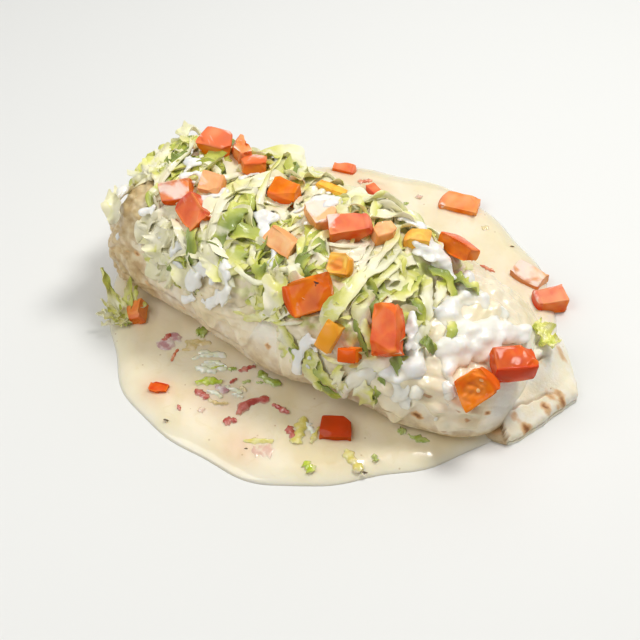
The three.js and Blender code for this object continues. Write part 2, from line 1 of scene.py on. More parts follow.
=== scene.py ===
"""A wrapped burrito in a pool of cheese sauce, under shredded lettuce, diced tomato and sour cream.

Lengths are millimetres and angles degrees, unless a name says otherwise. +X runs along the roll to its
tail, and -Y is its front. "around" is counted in degrees round the roll: 0 is its back, 90 its top,
180 its front.
"""
import json
import math

import bpy
import numpy as np
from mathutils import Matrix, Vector
from mathutils.bvhtree import BVHTree


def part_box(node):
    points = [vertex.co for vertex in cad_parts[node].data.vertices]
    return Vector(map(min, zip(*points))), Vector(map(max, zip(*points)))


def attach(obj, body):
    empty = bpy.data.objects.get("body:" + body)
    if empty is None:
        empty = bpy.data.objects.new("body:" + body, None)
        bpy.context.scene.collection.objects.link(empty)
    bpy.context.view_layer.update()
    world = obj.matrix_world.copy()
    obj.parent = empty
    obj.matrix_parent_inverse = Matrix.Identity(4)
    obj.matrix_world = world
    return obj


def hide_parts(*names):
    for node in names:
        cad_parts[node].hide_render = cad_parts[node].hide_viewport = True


bl_info = {
    "name": "Sauced burrito",
    "version": (1, 0, 0),
    "blender": (4, 5, 0),
    "location": "View3D > Sidebar > Burrito",
    "description": "Finishes a wrapped burrito with sauce, lettuce, tomato and sour cream",
    "category": "Object",
}

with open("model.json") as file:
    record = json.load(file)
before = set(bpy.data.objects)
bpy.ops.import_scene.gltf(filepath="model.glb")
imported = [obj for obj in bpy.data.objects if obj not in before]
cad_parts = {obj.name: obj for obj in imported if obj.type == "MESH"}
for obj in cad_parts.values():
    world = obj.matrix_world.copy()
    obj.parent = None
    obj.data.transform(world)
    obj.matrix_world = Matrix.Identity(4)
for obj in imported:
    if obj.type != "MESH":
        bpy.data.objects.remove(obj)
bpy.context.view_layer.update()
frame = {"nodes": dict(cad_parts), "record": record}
MM = 0.001
LEAST_HEIGHT = 0.4  # of loose things over the part's underside
SHRED_LIFT = 0.9  # of a shred's middle line over what it lies on
SEEDS = {"shreds": 5, "leaves": 17, "bits": 41, "strands": 71, "tuft": 81, "cream": 91}
# Faces that meet at more than these degrees keep a sharp edge between them.
CREASES = {"leaf": 75, "sheet": 70, "bit": 60, "die": 50}

# ---- The form that every layer follows --------------------------------------------------

# Its ends along X, its half widths, its height, and how far its round section would reach below Z = 0.
ROLL = {"left": -101, "right": 87, "front": 41, "back": 37, "height": 50, "sink": 3}
SQUARENESS = 2.5  # of the roll's section: 2 is an ellipse
SECTION_POWER = 2 / SQUARENESS
END_POWER = 4.5  # how blunt the roll's ends are
# X of its root and its tip, Y of its sides, and where across it the tip is longest, as a share. Then the
# height of its edge, how much higher its root is, and how far its two corners are cut back.
TAIL = {"root": 55, "tip": 105, "front": -25, "back": 33, "corner": 0.62}
TAIL |= {"edge": 6, "rise": 15, "skew": 13, "back_slant": 16}
# The free edge of the wrap: how far round it runs, its step down, the step's width, its two ends
# along X, and where it goes under the roll.
WRAP = {"edge": 204, "step": 1.8, "soft": 7, "left": -84, "right": 20, "under": 226}
# Its middle, its radius and its level, how wide its round rim is, the height of the rim's foot, and how
# far it goes in under the wrap.
POOL = {"x": -5, "y": 5, "radius": 96.5, "level": 3, "rim": 9, "foot": 0.15, "under": 2.5}
# The lettuce: its ends along X, its edges in degrees round the roll, its height and its rim's.
HEAP = {"left": -95, "right": 46, "back": 50, "front": 159, "height": 5.5, "rim": 1.8}
SKIN_RADIUS = 34  # radians round the roll become millimetres with this
DEGREE = 0.6  # about how many millimetres a degree round the roll is
EASE = 3  # how many neighbours on each side a value is evened out with


def bump(value, centre, spread):
    """1 at the centre, falling off to both sides."""
    return np.exp(-(((value - centre) / spread) ** 2))


def ramp(value, low, high):
    """0 below low and 1 above high, with a soft step between them."""
    share = np.clip((value - low) / (high - low), 0, 1)
    return share * share * (3 - 2 * share)


def band(value, low, high, end, past):
    """1 from high to end, 0 below low and above past, with a soft step on both sides."""
    return ramp(value, low, high) * (1 - ramp(value, end, past))


def signed_power(value, power):
    return np.sign(value) * np.abs(value) ** power


def unit(vectors):
    return vectors / np.maximum(np.linalg.norm(vectors, axis=-1, keepdims=True), 1e-9)


def flat_places(x, y):
    """Places laid out on a plane, so that ripples can be taken there."""
    return np.stack([x, y, 0 * x], -1)


def ripples(points, size, seed, waves=7):
    """Smooth unevenness from about -1 to 1, with lumps about `size` across."""
    draw = np.random.default_rng(seed)
    total = np.zeros(len(points))
    for _ in range(waves):
        pitch = size * draw.uniform(0.7, 1.5)
        way = unit(draw.normal(size=3)) * 2 * np.pi / pitch
        other = unit(draw.normal(size=3)) * 2 * np.pi / (pitch * 2.3)
        total += np.sin(points @ way + draw.uniform(0, 6.3) + 1.3 * np.sin(points @ other))
    return total / waves**0.5


def end_taper(x, grow):
    """How wide the roll still is: 1 at its middle, 0 at its ends. grow lengthens it."""
    middle = (ROLL["left"] + ROLL["right"]) / 2
    half = (ROLL["right"] - ROLL["left"]) / 2 + grow
    share = np.minimum(np.abs(x - middle) / half, 1)
    return (1 - share**END_POWER) ** (1 / END_POWER)


def roll_height(x):
    """Highest near its left end, with a dip left of the middle and a long fall towards the tail."""
    return ROLL["height"] + 2 * bump(x, -85, 30) - 3 * bump(x, -20, 18) - 16 * ramp(x, 0, 88)


def free_edge(x):
    """Where the wrap's free edge runs along the lower front."""
    return WRAP["edge"] + 5 * np.sin(x / 21)


def along_edge(x, step):
    """A step of the wrap's free edge, faded out at both ends of that edge."""
    return step * ramp(x, WRAP["left"], WRAP["left"] + 10) * (1 - ramp(x, WRAP["right"], WRAP["right"] + 14))


def relief(x, angle):
    """How far the wrap's free edge, the pleats of its left end and the dents of its front stand out."""
    around = np.degrees(angle)
    edge = free_edge(x)
    step = -WRAP["step"] * ramp(around, edge, edge + WRAP["soft"])
    step = step * (1 - ramp(around, WRAP["under"], WRAP["under"] + 14))
    pleats = 1.3 * np.sin(angle * 9 + x / 7) * bump(x, -99, 11)
    front_share = band(around, 120, 165, 225, 245)
    dents = 0.9 * np.sin(x / 11 + 3 * np.sin(angle * 2)) * front_share
    return along_edge(x, step) + pleats + dents


def roll_section(x, taper):
    """The roll's half widths to its front and its back, its half height, and the level of its middle."""
    front = ROLL["front"] + 7 * bump(x, 8, 45) - 2 * bump(x, -75, 30)
    back = ROLL["back"] - 4 * ramp(x, 20, 75)
    half_high = (roll_height(x) + ROLL["sink"]) / 2
    level = half_high * (0.25 + 0.75 * taper) - ROLL["sink"]
    return front, back, half_high, level


def skin_point(x, angle, lift=0.0, share=1.0):
    """Points on the roll's skin, or `lift` above it. share draws them in towards the roll's middle."""
    x, angle = np.broadcast_arrays(np.asarray(x, float), np.asarray(angle, float))
    taper = end_taper(x, np.maximum(lift, 0))
    front, back, half_high, level = roll_section(x, taper)
    across = np.cos(angle)
    out = lift + relief(x, angle)
    wide = (np.where(across > 0, back, front) + out) * taper * share
    high = (half_high + out) * taper * share
    y = wide * signed_power(across, SECTION_POWER)
    z = level + high * signed_power(np.sin(angle), SECTION_POWER)
    return np.stack([x, y, z], -1)


def outward(x, angle):
    """The direction away from the roll."""
    return unit(skin_point(x, angle, 2.0) - skin_point(x, angle, 1.0))


def skin_place(points):
    """How far round the roll each point lies, and about how high above the skin."""
    x, y, z = points.T
    taper = np.maximum(end_taper(x, 3), 0.05)
    front, back, half_high, level = roll_section(x, taper)
    across = y / (np.where(y > 0, back, front) * taper)
    up = (z - level) / (half_high * taper)
    angle = np.arctan2(signed_power(up, 1 / SECTION_POWER), signed_power(across, 1 / SECTION_POWER))
    lift = np.linalg.norm(points - skin_point(x, angle), axis=1)
    outside = np.abs(across) ** SQUARENESS + np.abs(up) ** SQUARENESS > 1
    return np.degrees(angle), np.where(outside, lift, -lift)


def heap_front(x):
    """How far round the roll the lettuce reaches down its front."""
    return HEAP["front"] + 7 * np.sin(x / 9) + 4 * np.sin(x / 4.3 + 1) - 14 * ramp(x, 18, 44)


def heap_back(x):
    return HEAP["back"] + 5 * np.sin(x / 12)


def heap_share(x, around, left_share=1.0):
    """1 on the heap and 0 past its right end and its front. left_share is what its left end leaves."""
    inside = left_share * (1 - ramp(x, HEAP["right"] - 3, HEAP["right"] + 4))
    return inside * (1 - ramp(around, heap_front(x) - 4, heap_front(x) + 4))


def heap_height(x, around):
    """How high the lettuce's core stands above the skin."""
    along = band(x, HEAP["left"] - 2, HEAP["left"] + 12, HEAP["right"] - 22, HEAP["right"] + 2)
    front = heap_front(x)
    back = heap_back(x)
    over = band(around, back - 4, back + 24, front - 32, front + 4)
    lumps = 1 + 0.2 * np.sin(x / 5.5 + around / 12) + 0.15 * np.sin(x / 8.3 - around / 9)
    return HEAP["rim"] + HEAP["height"] * along * over * lumps


def pool_radius(turn):
    """How far the pool reaches from its middle, with three flatter stretches and a wavy rim."""
    around = np.degrees(turn)
    flats = 5.5 * bump(around, -42, 20) + 2.5 * bump(around, 46, 24) + 1.5 * bump(around, -138, 16)
    return POOL["radius"] - flats + 0.9 * np.sin(turn * 9 + 1) + 0.6 * np.sin(turn * 17)


# ---- Meshes -----------------------------------------------------------------------------


def make_active(piece):
    bpy.ops.object.select_all(action="DESELECT")
    piece.select_set(True)
    bpy.context.view_layer.objects.active = piece


def put_modifier(piece, kind, **settings):
    """Adds a modifier, sets it and applies it."""
    make_active(piece)
    modifier = piece.modifiers.new(kind.lower(), kind)
    for name, value in settings.items():
        setattr(modifier, name, value)
    bpy.ops.object.modifier_apply(modifier=modifier.name)


def new_primitive(add, name, **settings):
    """A new piece out of one of Blender's primitive operators."""
    bpy.ops.object.select_all(action="DESELECT")
    add(**settings)
    piece = bpy.context.object
    piece.name = piece.data.name = name
    return piece


def new_grid(name, along, across):
    cells = {"x_subdivisions": along, "y_subdivisions": across}
    return new_primitive(bpy.ops.mesh.primitive_grid_add, name, size=1, **cells)


def edit_mesh(piece, *steps):
    """Runs mesh operators, each with its settings, on the whole of a piece."""
    make_active(piece)
    bpy.ops.object.mode_set(mode="EDIT")
    bpy.ops.mesh.select_all(action="SELECT")
    for operator, settings in steps:
        operator(**settings)
    bpy.ops.object.mode_set(mode="OBJECT")


def new_split_cube(name, size, cuts):
    cube = new_primitive(bpy.ops.mesh.primitive_cube_add, name, size=size)
    edit_mesh(cube, (bpy.ops.mesh.subdivide, {"number_cuts": cuts}))
    return cube


def weld(piece, distance=0.01):
    """Merges points that lie together, and turns the faces outwards."""
    merging = {"threshold": distance * MM}
    turning = {"inside": False}
    edit_mesh(piece, (bpy.ops.mesh.remove_doubles, merging), (bpy.ops.mesh.normals_make_consistent, turning))


def points_of(piece):
    points = np.empty(len(piece.data.vertices) * 3)
    piece.data.vertices.foreach_get("co", points)
    return points.reshape(-1, 3) / MM


def unit_points_of(piece):
    """The points of a primitive, whose sizes aren't lengths yet."""
    return points_of(piece) * MM


def faces_of(piece):
    return np.array([list(face.vertices) for face in piece.data.polygons])


def normals_of(piece):
    normals = np.empty(len(piece.data.vertices) * 3)
    piece.data.vertex_normals.foreach_get("vector", normals)
    return normals.reshape(-1, 3)


def move_points(piece, points):
    piece.data.vertices.foreach_set("co", (points * MM).ravel())
    piece.data.update()


def paint(piece, **attributes):
    """Writes one number for each point under each name."""
    for name, values in attributes.items():
        layer = piece.data.attributes.new(name, "FLOAT", "POINT")
        layer.data.foreach_set("value", np.broadcast_to(values, len(piece.data.vertices)).astype(np.float32))


def mesh_piece(name, points, faces, **attributes):
    mesh = bpy.data.meshes.new(name)
    mesh.from_pydata((points * MM).tolist(), [], faces.tolist())
    piece = bpy.data.objects.new(name, mesh)
    bpy.context.scene.collection.objects.link(piece)
    paint(piece, **attributes)
    return piece


def finish_piece(piece, material, slot, *nodes, crease=None):
    """Shades a piece, gives it its material and sets it on the frame in place of its CAD nodes."""
    make_active(piece)
    if crease is None:
        bpy.ops.object.shade_smooth()
    else:
        bpy.ops.object.shade_smooth_by_angle(angle=math.radians(crease))
    piece.data.materials.clear()
    piece.data.materials.append(material)
    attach(piece, "root")
    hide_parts(*nodes)


def eased(values, **padding):
    """A row of values with its corners evened out."""
    window = 2 * EASE + 1
    return np.convolve(np.pad(values, EASE, **padding), np.ones(window) / window, mode="valid")


def path_reach(places, scale):
    """How far along a line each of its places lies."""
    steps = np.diff(places, axis=0) * scale
    return np.concatenate([[0], np.cumsum(np.hypot(*steps.T))])


def smooth_path(places, stations, scale=(1.0, 1.0)):
    """Evenly spaced places along a line through the given ones, with its corners eased."""
    places = np.array(places, float)
    reach = path_reach(places, scale)
    at = np.linspace(0, reach[-1], stations)
    columns = [np.interp(at, reach, column) for column in places.T]
    return [eased(column, mode="reflect", reflect_type="odd") for column in columns]


class Blank:
    """A flat strip, one unit long, split for bending. It is modelled once, and each strip is a bent copy."""

    def __init__(self, along, across):
        strip = new_grid("blank", along, across)
        put_modifier(strip, "SOLIDIFY", thickness=1, offset=0)
        points = unit_points_of(strip)
        self.faces = faces_of(strip)
        self.share = points[:, 0] + 0.5
        self.across = points[:, 1] * 2
        self.thick = points[:, 2] * 2
        self.stations = along + 1
        self.station = np.rint(self.share * along).astype(int)
        bpy.data.objects.remove(strip)

    def bend(self, centres, ups, half_width, thickness, cup=0.0, ruffle=0.0, slant=0.0):
        """Lays the strip along the centres.

        cup lifts both its edges, ruffle lifts one edge and lowers the other, and slant cuts its ends
        at an angle. half_width is one number, one for each station, or one for each point.
        """
        tangents = unit(np.gradient(centres, axis=0))
        sides = unit(np.cross(ups, tangents))
        tops = np.cross(tangents, sides)
        at = self.station
        over = self.across
        thin = thickness * (1 - 0.55 * over**2) / 2
        rise = self.thick * thin + cup * over**2 + np.broadcast_to(ruffle, self.stations)[at] * over**3
        half_width = np.asarray(half_width, float)
        if half_width.shape != over.shape:
            half_width = np.broadcast_to(half_width, self.stations)[at]
        wide = half_width * over
        placed = centres[at] + sides[at] * wide[:, None] + tops[at] * rise[:, None]
        return placed + tangents[at] * (slant * wide)[:, None]


class Bundle:
    """Gathers copies and what is painted on them into one mesh."""

    def __init__(self):
        self.points = []
        self.faces = []
        self.count = 0
        self.attributes = {}

    def add(self, points, faces, **attributes):
        self.points.append(points)
        self.faces.append(faces + self.count)
        self.count += len(points)
        for name, values in attributes.items():
            self.attributes.setdefault(name, []).append(np.broadcast_to(values, len(points)))

    def piece(self, name):
        attributes = {key: np.concatenate(values) for key, values in self.attributes.items()}
        return mesh_piece(name, np.concatenate(self.points), np.concatenate(self.faces), **attributes)


def closed_sheet(name, top, bottom):
    """A closed body between two grids of points of the same shape."""
    rows, columns = top.shape[:2]
    below = rows * columns
    number = np.arange(below).reshape(rows, columns)
    quads = np.stack([number[:-1, :-1], number[1:, :-1], number[1:, 1:], number[:-1, 1:]], -1).reshape(-1, 4)
    flipped = quads[:, [0, 3, 2, 1]] + below
    rim = np.concatenate([number[:-1, 0], number[-1, :-1], number[:0:-1, -1], number[0, :0:-1]])
    ahead = np.roll(rim, -1)
    wall = np.stack([rim, rim + below, ahead + below, ahead], -1)
    points = np.concatenate([top.reshape(-1, 3), bottom.reshape(-1, 3)])
    return mesh_piece(name, points, np.concatenate([quads, flipped, wall]))


def blob_body(name, blobs, voxel, smoothing):
    """One soft body out of squashed balls (centre, up, radii), melted together."""
    ball = new_primitive(bpy.ops.mesh.primitive_ico_sphere_add, "ball", subdivisions=3, radius=1)
    ball_points = unit_points_of(ball)
    ball_faces = faces_of(ball)
    bpy.data.objects.remove(ball)
    bundle = Bundle()
    for centre, up, radii in blobs:
        side = unit(np.cross(up, [1.0, 0, 0]))
        forward = np.cross(side, up)
        turned = ball_points * radii @ np.stack([forward, side, up])
        bundle.add(centre + turned, ball_faces)
    body = bundle.piece(name)
    put_modifier(body, "REMESH", mode="VOXEL", voxel_size=voxel * MM)
    put_modifier(body, "SMOOTH", factor=0.5, iterations=smoothing)
    return body


# ---- Materials --------------------------------------------------------------------------


def to_linear(text):
    channels = [int(text[i : i + 2], 16) / 255 for i in (1, 3, 5)]
    return [c / 12.92 if c <= 0.04045 else ((c + 0.055) / 1.055) ** 2.4 for c in channels]


def colour(value):
    """A colour for a socket: from hexadecimal text, from the name of a setting, or a socket as it is."""
    if not isinstance(value, str):
        return value
    if value.startswith("#"):
        return (*to_linear(value), 1.0)
    return (*getattr(bpy.context.scene.burrito_colours, value), 1.0)


class Nodes:
    """Adds nodes to a shader tree. Its methods give back the output of the node that they add."""

    def __init__(self, tree):
        self.tree = tree

    def feed(self, socket, value):
        if isinstance(value, bpy.types.NodeSocket):
            self.tree.links.new(value, socket)
        else:
            socket.default_value = value

    def add(self, kind, inputs=None, output=0, **settings):
        node = self.tree.nodes.new(f"ShaderNode{kind}")
        for name, value in settings.items():
            setattr(node, name, value)
        for name, value in (inputs or {}).items():
            self.feed(node.inputs[name], value)
        return node.outputs[output]

    def mix_colours(self, share, first, second):
        return self.add("Mix", {0: share, 6: colour(first), 7: colour(second)}, output=2, data_type="RGBA")

    def mix_values(self, share, first, second):
        return self.add("Mix", {0: share, 2: first, 3: second})

    def calculate(self, operation, *values, clamp=True):
        return self.add("Math", dict(enumerate(values)), operation=operation, use_clamp=clamp)

    def between(self, value, low, high, to_low=0.0, to_high=1.0):
        """to_low below low and to_high above high, with a soft step between them."""
        inputs = {"Value": value, "From Min": low, "From Max": high, "To Min": to_low, "To Max": to_high}
        return self.add("MapRange", inputs, interpolation_type="SMOOTHSTEP")


SOCKET_KINDS = {"Place": "NodeSocketVector"} | dict.fromkeys(("Light", "Dark", "Colour"), "NodeSocketColor")


class Group(Nodes):
    """A new node group with its inputs and its one output. An input with a default is a number."""

    def __init__(self, name, output, **inputs):
        super().__init__(bpy.data.node_groups.new(name, "ShaderNodeTree"))
        for label, default in inputs.items():
            socket = self.new_socket(label, "INPUT")
            if default is not None:
                socket.default_value = default
        self.new_socket(output, "OUTPUT")
        self.given = self.tree.nodes.new("NodeGroupInput").outputs
        self.result = self.tree.nodes.new("NodeGroupOutput").inputs[output]

    def new_socket(self, label, side):
        kind = SOCKET_KINDS.get(label, "NodeSocketFloat")
        return self.tree.interface.new_socket(name=label, in_out=side, socket_type=kind)

    def texture(self, kind, **settings):
        return self.add(kind, {"Vector": self.given["Place"], "Scale": self.given["Scale"]} | settings)


def make_mottle_group(name):
    """Two colours in soft uneven patches."""
    group = Group(name, "Colour", Place=None, Scale=100.0, Light=None, Dark=None)
    share = group.between(group.texture("TexNoise", Detail=4.0), 0.38, 0.64)
    group.feed(group.result, group.mix_colours(share, group.given["Light"], group.given["Dark"]))
    return group.tree


def make_speck_group(name):
    """Scattered small specks. Share is how many of its cells hold one."""
    group = Group(name, "Mask", Place=None, Scale=300.0, Radius=0.15, Share=0.3)
    distance = group.texture("TexVoronoi")
    pick = group.add("SeparateColor", {"Color": distance.node.outputs["Color"]})
    held = group.calculate("LESS_THAN", pick, group.given["Share"])
    wobble = group.texture("TexNoise", Scale=900.0)
    away = group.calculate("ADD", distance, group.calculate("MULTIPLY", wobble, 0.12))
    near = group.calculate("LESS_THAN", away, group.given["Radius"])
    group.feed(group.result, group.calculate("MULTIPLY", held, near))
    return group.tree


def make_film_group(name):
    """Where a thin film of sauce or cream clings. Amount is how much of the surface it covers."""
    group = Group(name, "Mask", Place=None, Scale=150.0, Amount=0.3)
    cloud = group.texture("TexNoise", Detail=4.0, Distortion=0.8)
    level = group.between(group.given["Amount"], 0.0, 1.0, 0.72, 0.28)
    above = group.calculate("SUBTRACT", cloud, level, clamp=False)
    group.feed(group.result, group.between(above, -0.05, 0.07))
    return group.tree


GROUP_MAKERS = {
    "mottled_colour": make_mottle_group,
    "specks": make_speck_group,
    "clinging_film": make_film_group,
}


class Look(Nodes):
    """A new material on its object's own coordinates.

    soft is how much light it lets in, and reach how far each colour goes in millimetres. gloss is a wet
    coat, and gloss_blur its roughness.
    """

    def __init__(self, name, roughness=0.4, soft=0.0, reach=(1.0, 1.0, 1.0), gloss=0.0, gloss_blur=0.1):
        shared = bpy.data.node_groups
        self.groups = {key: shared.get(key) or make(key) for key, make in GROUP_MAKERS.items()}
        self.material = bpy.data.materials.new(name)
        self.material.use_nodes = True
        super().__init__(self.material.node_tree)
        self.shader = self.tree.nodes["Principled BSDF"].inputs
        self.give("Roughness", roughness)
        self.give("Subsurface Weight", soft)
        self.give("Subsurface Radius", reach)
        self.give("Subsurface Scale", MM)
        self.give("Coat Weight", gloss)
        self.give("Coat Roughness", gloss_blur)
        self.place = self.add("TexCoord", output="Object")

    def give(self, label, value):
        self.feed(self.shader[label], value)

    def attribute(self, name):
        return self.add("Attribute", output="Fac", attribute_name=name)

    def noise(self, size, detail=3.0, roughness=0.55, distortion=0.0):
        """Cloudy noise with lumps about `size` millimetres across."""
        inputs = {"Vector": self.place, "Scale": 1 / (size * MM), "Detail": detail}
        return self.add("TexNoise", inputs | {"Roughness": roughness, "Distortion": distortion})

    def bumps(self, height, depth, strength):
        """Gives the shader a bump normal. depth is the height of its relief."""
        inputs = {"Height": height, "Distance": depth * MM, "Strength": strength}
        self.give("Normal", self.add("Bump", inputs))

    def use(self, group, **inputs):
        return self.add("Group", {"Place": self.place} | inputs, node_tree=self.groups[group])

    def mottled(self, scale, light, dark):
        return self.use("mottled_colour", Scale=scale, Light=colour(light), Dark=colour(dark))

    def specks(self, scale, radius, share):
        return self.use("specks", Scale=scale, Radius=radius, Share=share)

    def film(self, scale, amount):
        return self.use("clinging_film", Scale=scale, Amount=amount)

    def layer(self, base, over, mask, share=None):
        """Lays a colour over base where a mask or a painted attribute says. share thins it."""
        if isinstance(mask, str):
            mask = self.attribute(mask)
        if share is not None:
            mask = self.calculate("MULTIPLY", mask, share)
        return self.mix_colours(mask, base, over)


# ---- Settings ---------------------------------------------------------------------------


def colour_setting(name, description, text):
    return bpy.props.FloatVectorProperty(
        name=name, description=description, default=to_linear(text), subtype="COLOR", min=0, max=1
    )


def length_setting(name, description):
    return bpy.props.FloatProperty(name=name, description=description, default=0.8 * MM, unit="LENGTH")


class BurritoShape(bpy.types.PropertyGroup):
    """Sizes that a cook would vary."""

    shreds: bpy.props.IntProperty(
        name="Lettuce shreds", description="How many shreds lie on the roll", default=280, min=20, max=320
    )
    shred_thickness: length_setting("Shred thickness", "Thickness of a shred at its middle")
    coat_thickness: length_setting("Sauce coat", "Thickness of the sauce that clings to the roll")
    filling_lumps: length_setting("Filling lumps", "How far the filling pushes the wrap out")
    cream_grain: length_setting("Cream grain", "Size of the cells that the sour cream is melted from")


class BurritoColours(bpy.types.PropertyGroup):
    """Colours of the ingredients."""

    tortilla: colour_setting("Tortilla", "Cooked flour tortilla", "#fbf6e8")
    tortilla_dark: colour_setting("Tortilla, darker", "Where the tortilla is drier", "#f5ebd0")
    toast: colour_setting("Toast", "Toasted spots", "#a5682f")
    queso: colour_setting("Cheese sauce", "Poured cheese sauce", "#f3e7cd")
    queso_dark: colour_setting("Cheese sauce, deeper", "Where the sauce is thicker", "#eadcb8")
    cream: colour_setting("Sour cream", "Fresh sour cream", "#f8f7f2")
    lettuce_pale: colour_setting("Lettuce heart", "Pale ribs and inner leaves", "#e9eed2")


def shape(name):
    """A size from the settings, in millimetres."""
    return getattr(bpy.context.scene.burrito_shape, name) / MM


# ---- The tortilla -----------------------------------------------------------------------

# The line of the wrap's loose lip on the lower front: x and around.
LIP = [(-76, 178), (-67, 184), (-58, 182), (-50, 182), (-45, 184)]
LIP += [(-39, 185), (-31, 188), (-18, 190), (-5, 199)]

# Toasted spots on the roll: x, around, length, width and depth of colour.
ROLL_SPOTS = [
    (61.5, 157, 2.4, 1.7, 0.95),
    (59, 182, 2.2, 1.6, 1.05),
    (73, 163, 1.7, 1.2, 0.9),
    (82, 158, 0.9, 1.7, 0.9),
    (77, 171, 1.6, 1.2, 0.85),
    (69, 155, 1.1, 0.8, 0.7),
    (70, 186, 1.4, 1.0, 0.8),
    (48, 184, 2.4, 1.3, 0.75),
    (-76, 166, 1.8, 1.3, 0.9),
    (-89, 145, 2.0, 1.3, 0.8),
    (-81, 168, 1.3, 0.9, 0.5),
    (-70, 186, 2.0, 1.2, 0.5),
    (-14, 150, 2.0, 1.2, 0.45),
    (-4, 176, 1.4, 0.9, 0.8),
    (-24, 172, 1.5, 1.0, 0.5),
    (14, 184, 1.5, 1.0, 0.8),
    (38, 194, 2.6, 1.3, 0.7),
    (-50, 187, 2.4, 1.2, 0.45),
    (20, 20, 5.0, 3.5, 0.7),
    (-45, 8, 4.0, 3.0, 0.6),
    (70, 10, 4.0, 2.6, 0.7),
]

# Toasted spots on the tail: x, y, length, width and depth of colour.
TAIL_SPOTS = [
    (95.5, -16.0, 2.6, 2.2, 1.0),
    (90.0, -16.2, 2.4, 1.3, 0.5),
    (97.4, -3.6, 2.2, 1.7, 0.95),
    (97.3, 1.6, 2.6, 1.5, 0.62),
    (99.0, 4.6, 2.6, 1.5, 0.7),
    (101.6, 3.4, 1.9, 1.7, 0.9),
    (102.0, 0.4, 1.4, 1.5, 0.55),
    (84.5, -22.5, 2.6, 1.6, 0.7),
    (92, 21, 3.0, 2.2, 0.55),
    (88, 8, 2.6, 1.5, 0.3),
]


ROLL_CELLS = (290, 280)  # along it and around it
# The roll's ends: the share of the grid that closes each, how far that bulges, and where it starts.
CAP = {"share": 0.07, "bulge": 1.6, "start": 0.992}
TAIL_CUTS = 90


def spot_depth(across, along, spots):
    """How deep the toasted spots colour each place."""
    depth = np.zeros(len(across))
    for spot_across, spot_along, long, wide, strength in spots:
        away = np.hypot((across - spot_across) / long, (along - spot_along) / wide)
        depth = np.maximum(depth, strength * (1 - ramp(away, 0.1, 1.75)))
    return depth


def coat_share(x, around):
    """1 where sauce covers the roll, 0 where the tortilla is bare, with runs down both sides."""
    runs = 15 * np.sin(x / 6.1 + 1.2 * np.sin(x / 9)) + 8 * np.sin(x / 3.3)
    lower_front = 168 + runs + 16 * ramp(x, 8, 30) - 10 * ramp(x, 60, 84) - 30 * (1 - ramp(x, -95, -82))
    lower_back = 24 - runs - 10 * bump(x, 20, 30)
    front_side = 1 - ramp(around, lower_front - 5, lower_front + 3)
    back_side = ramp(around, lower_back - 4, lower_back + 5)
    bare_end = 20 * ramp(around, 84, 116) + 4 * np.sin(around / 9)
    ends = band(x, -99 + bare_end, -90 + bare_end, 77, 85)
    return front_side * back_side * ends


def roll_detail(x, around):
    """The dressed skin's own relief, its coat of sauce, and the painted shade of its creases. around is -90
    to 270.
    """
    angle = np.radians(around)
    flat = flat_places(x, around * SKIN_RADIUS * np.pi / 180)
    along_only = flat * [1, 0, 0]
    # What the filling pushes out, with long soft folds low on the front.
    side = band(around, -30, 20, 205, 235)
    detail = shape("filling_lumps") * (1.1 * ripples(flat, 34, 1) + 0.55 * ripples(flat, 15, 2)) * side
    folds = np.abs(np.sin(x / 13 + around / 38 + 0.8 * ripples(flat, 40, 3)))
    detail += 0.5 * (folds**0.4 - 0.75) * side * ramp(around, 118, 150)
    # The wrap's free edge, as a sharp step in place of the plain form's soft one.
    edge = free_edge(x) + 1.5 * ripples(along_only, 9, 4)
    along = band(x, WRAP["left"], WRAP["left"] + 10, WRAP["right"] + 10, WRAP["right"] + 24)
    soft_step = -WRAP["step"] * ramp(around, free_edge(x), free_edge(x) + WRAP["soft"])
    sharp_step = (-2.0 * ramp(around, edge, edge + 2) - 1.0 * bump(around, edge + 3.5, 2)) * along
    under = 1 - ramp(around, WRAP["under"], WRAP["under"] + 14)
    detail += (sharp_step - along_edge(x, soft_step)) * under + 0.5 * bump(around, edge - 3, 3.5) * along
    # The gathers of the left end and the twist of the right one.
    bottom = (1 - ramp(around, -80, -50)) + ramp(around, 230, 260)
    gathers = ramp(-x, 70, 94) * (1 - bottom)
    creases = np.abs(np.sin(angle * 7.5 + x / 9 + 1.1 * ripples(flat, 21, 5)))
    gathered = 1.5 * (creases**0.5 - 0.7) + 0.5 * ripples(flat, 6, 6) + 0.3 * ripples(flat, 2.6, 14)
    detail += gathers * gathered
    right = ramp(x, 60, 84)
    detail += right * 0.7 * np.sin(angle * 5 + x / 5 + ripples(flat, 18, 7)) * side
    # The sauce, thick where it ends in a bead and lumpy towards the tail.
    coat = coat_share(x, around)
    bead = 4 * coat * (1 - coat)
    lumpy = ramp(x, 25, 45) * ramp(around, 120, 145)
    uneven = 0.6 * ripples(flat, 8, 8) + (0.35 - 0.2 * lumpy) * ripples(flat, 4, 9)
    uneven = uneven + lumpy * ripples(flat, 11, 16)
    detail += shape("coat_thickness") * (coat + 0.5 * bead + coat * uneven)
    detail += 0.12 * ripples(flat * [1, 1.6, 1], 3.2, 10) * (1 - coat) * side
    # The loose lip on the lower front.
    lip_x, lip_around = np.array(LIP).T
    past_lip = around - np.interp(x, lip_x, lip_around) + 0.8 * ripples(along_only, 6, 17)
    on_lip = band(x, -78, -73, -12, -3)
    detail += on_lip * (0.45 * bump(past_lip, -2.5, 3) - 0.8 * bump(past_lip, 0.9, 1.1))
    # Painted shade for the valleys of the left end's gathers and along the wrap's free edge and its lip.
    wrinkles = gathers * (1 - ramp(creases, 0, 0.3)) * side
    wrap_line = bump(around, edge + 1.2, 1.3) * along * under
    wrap_line = 1.5 * wrap_line + 2 * on_lip * bump(past_lip, 0.9, 0.9)
    return detail, coat, np.clip(wrinkles + wrap_line, 0, 2)


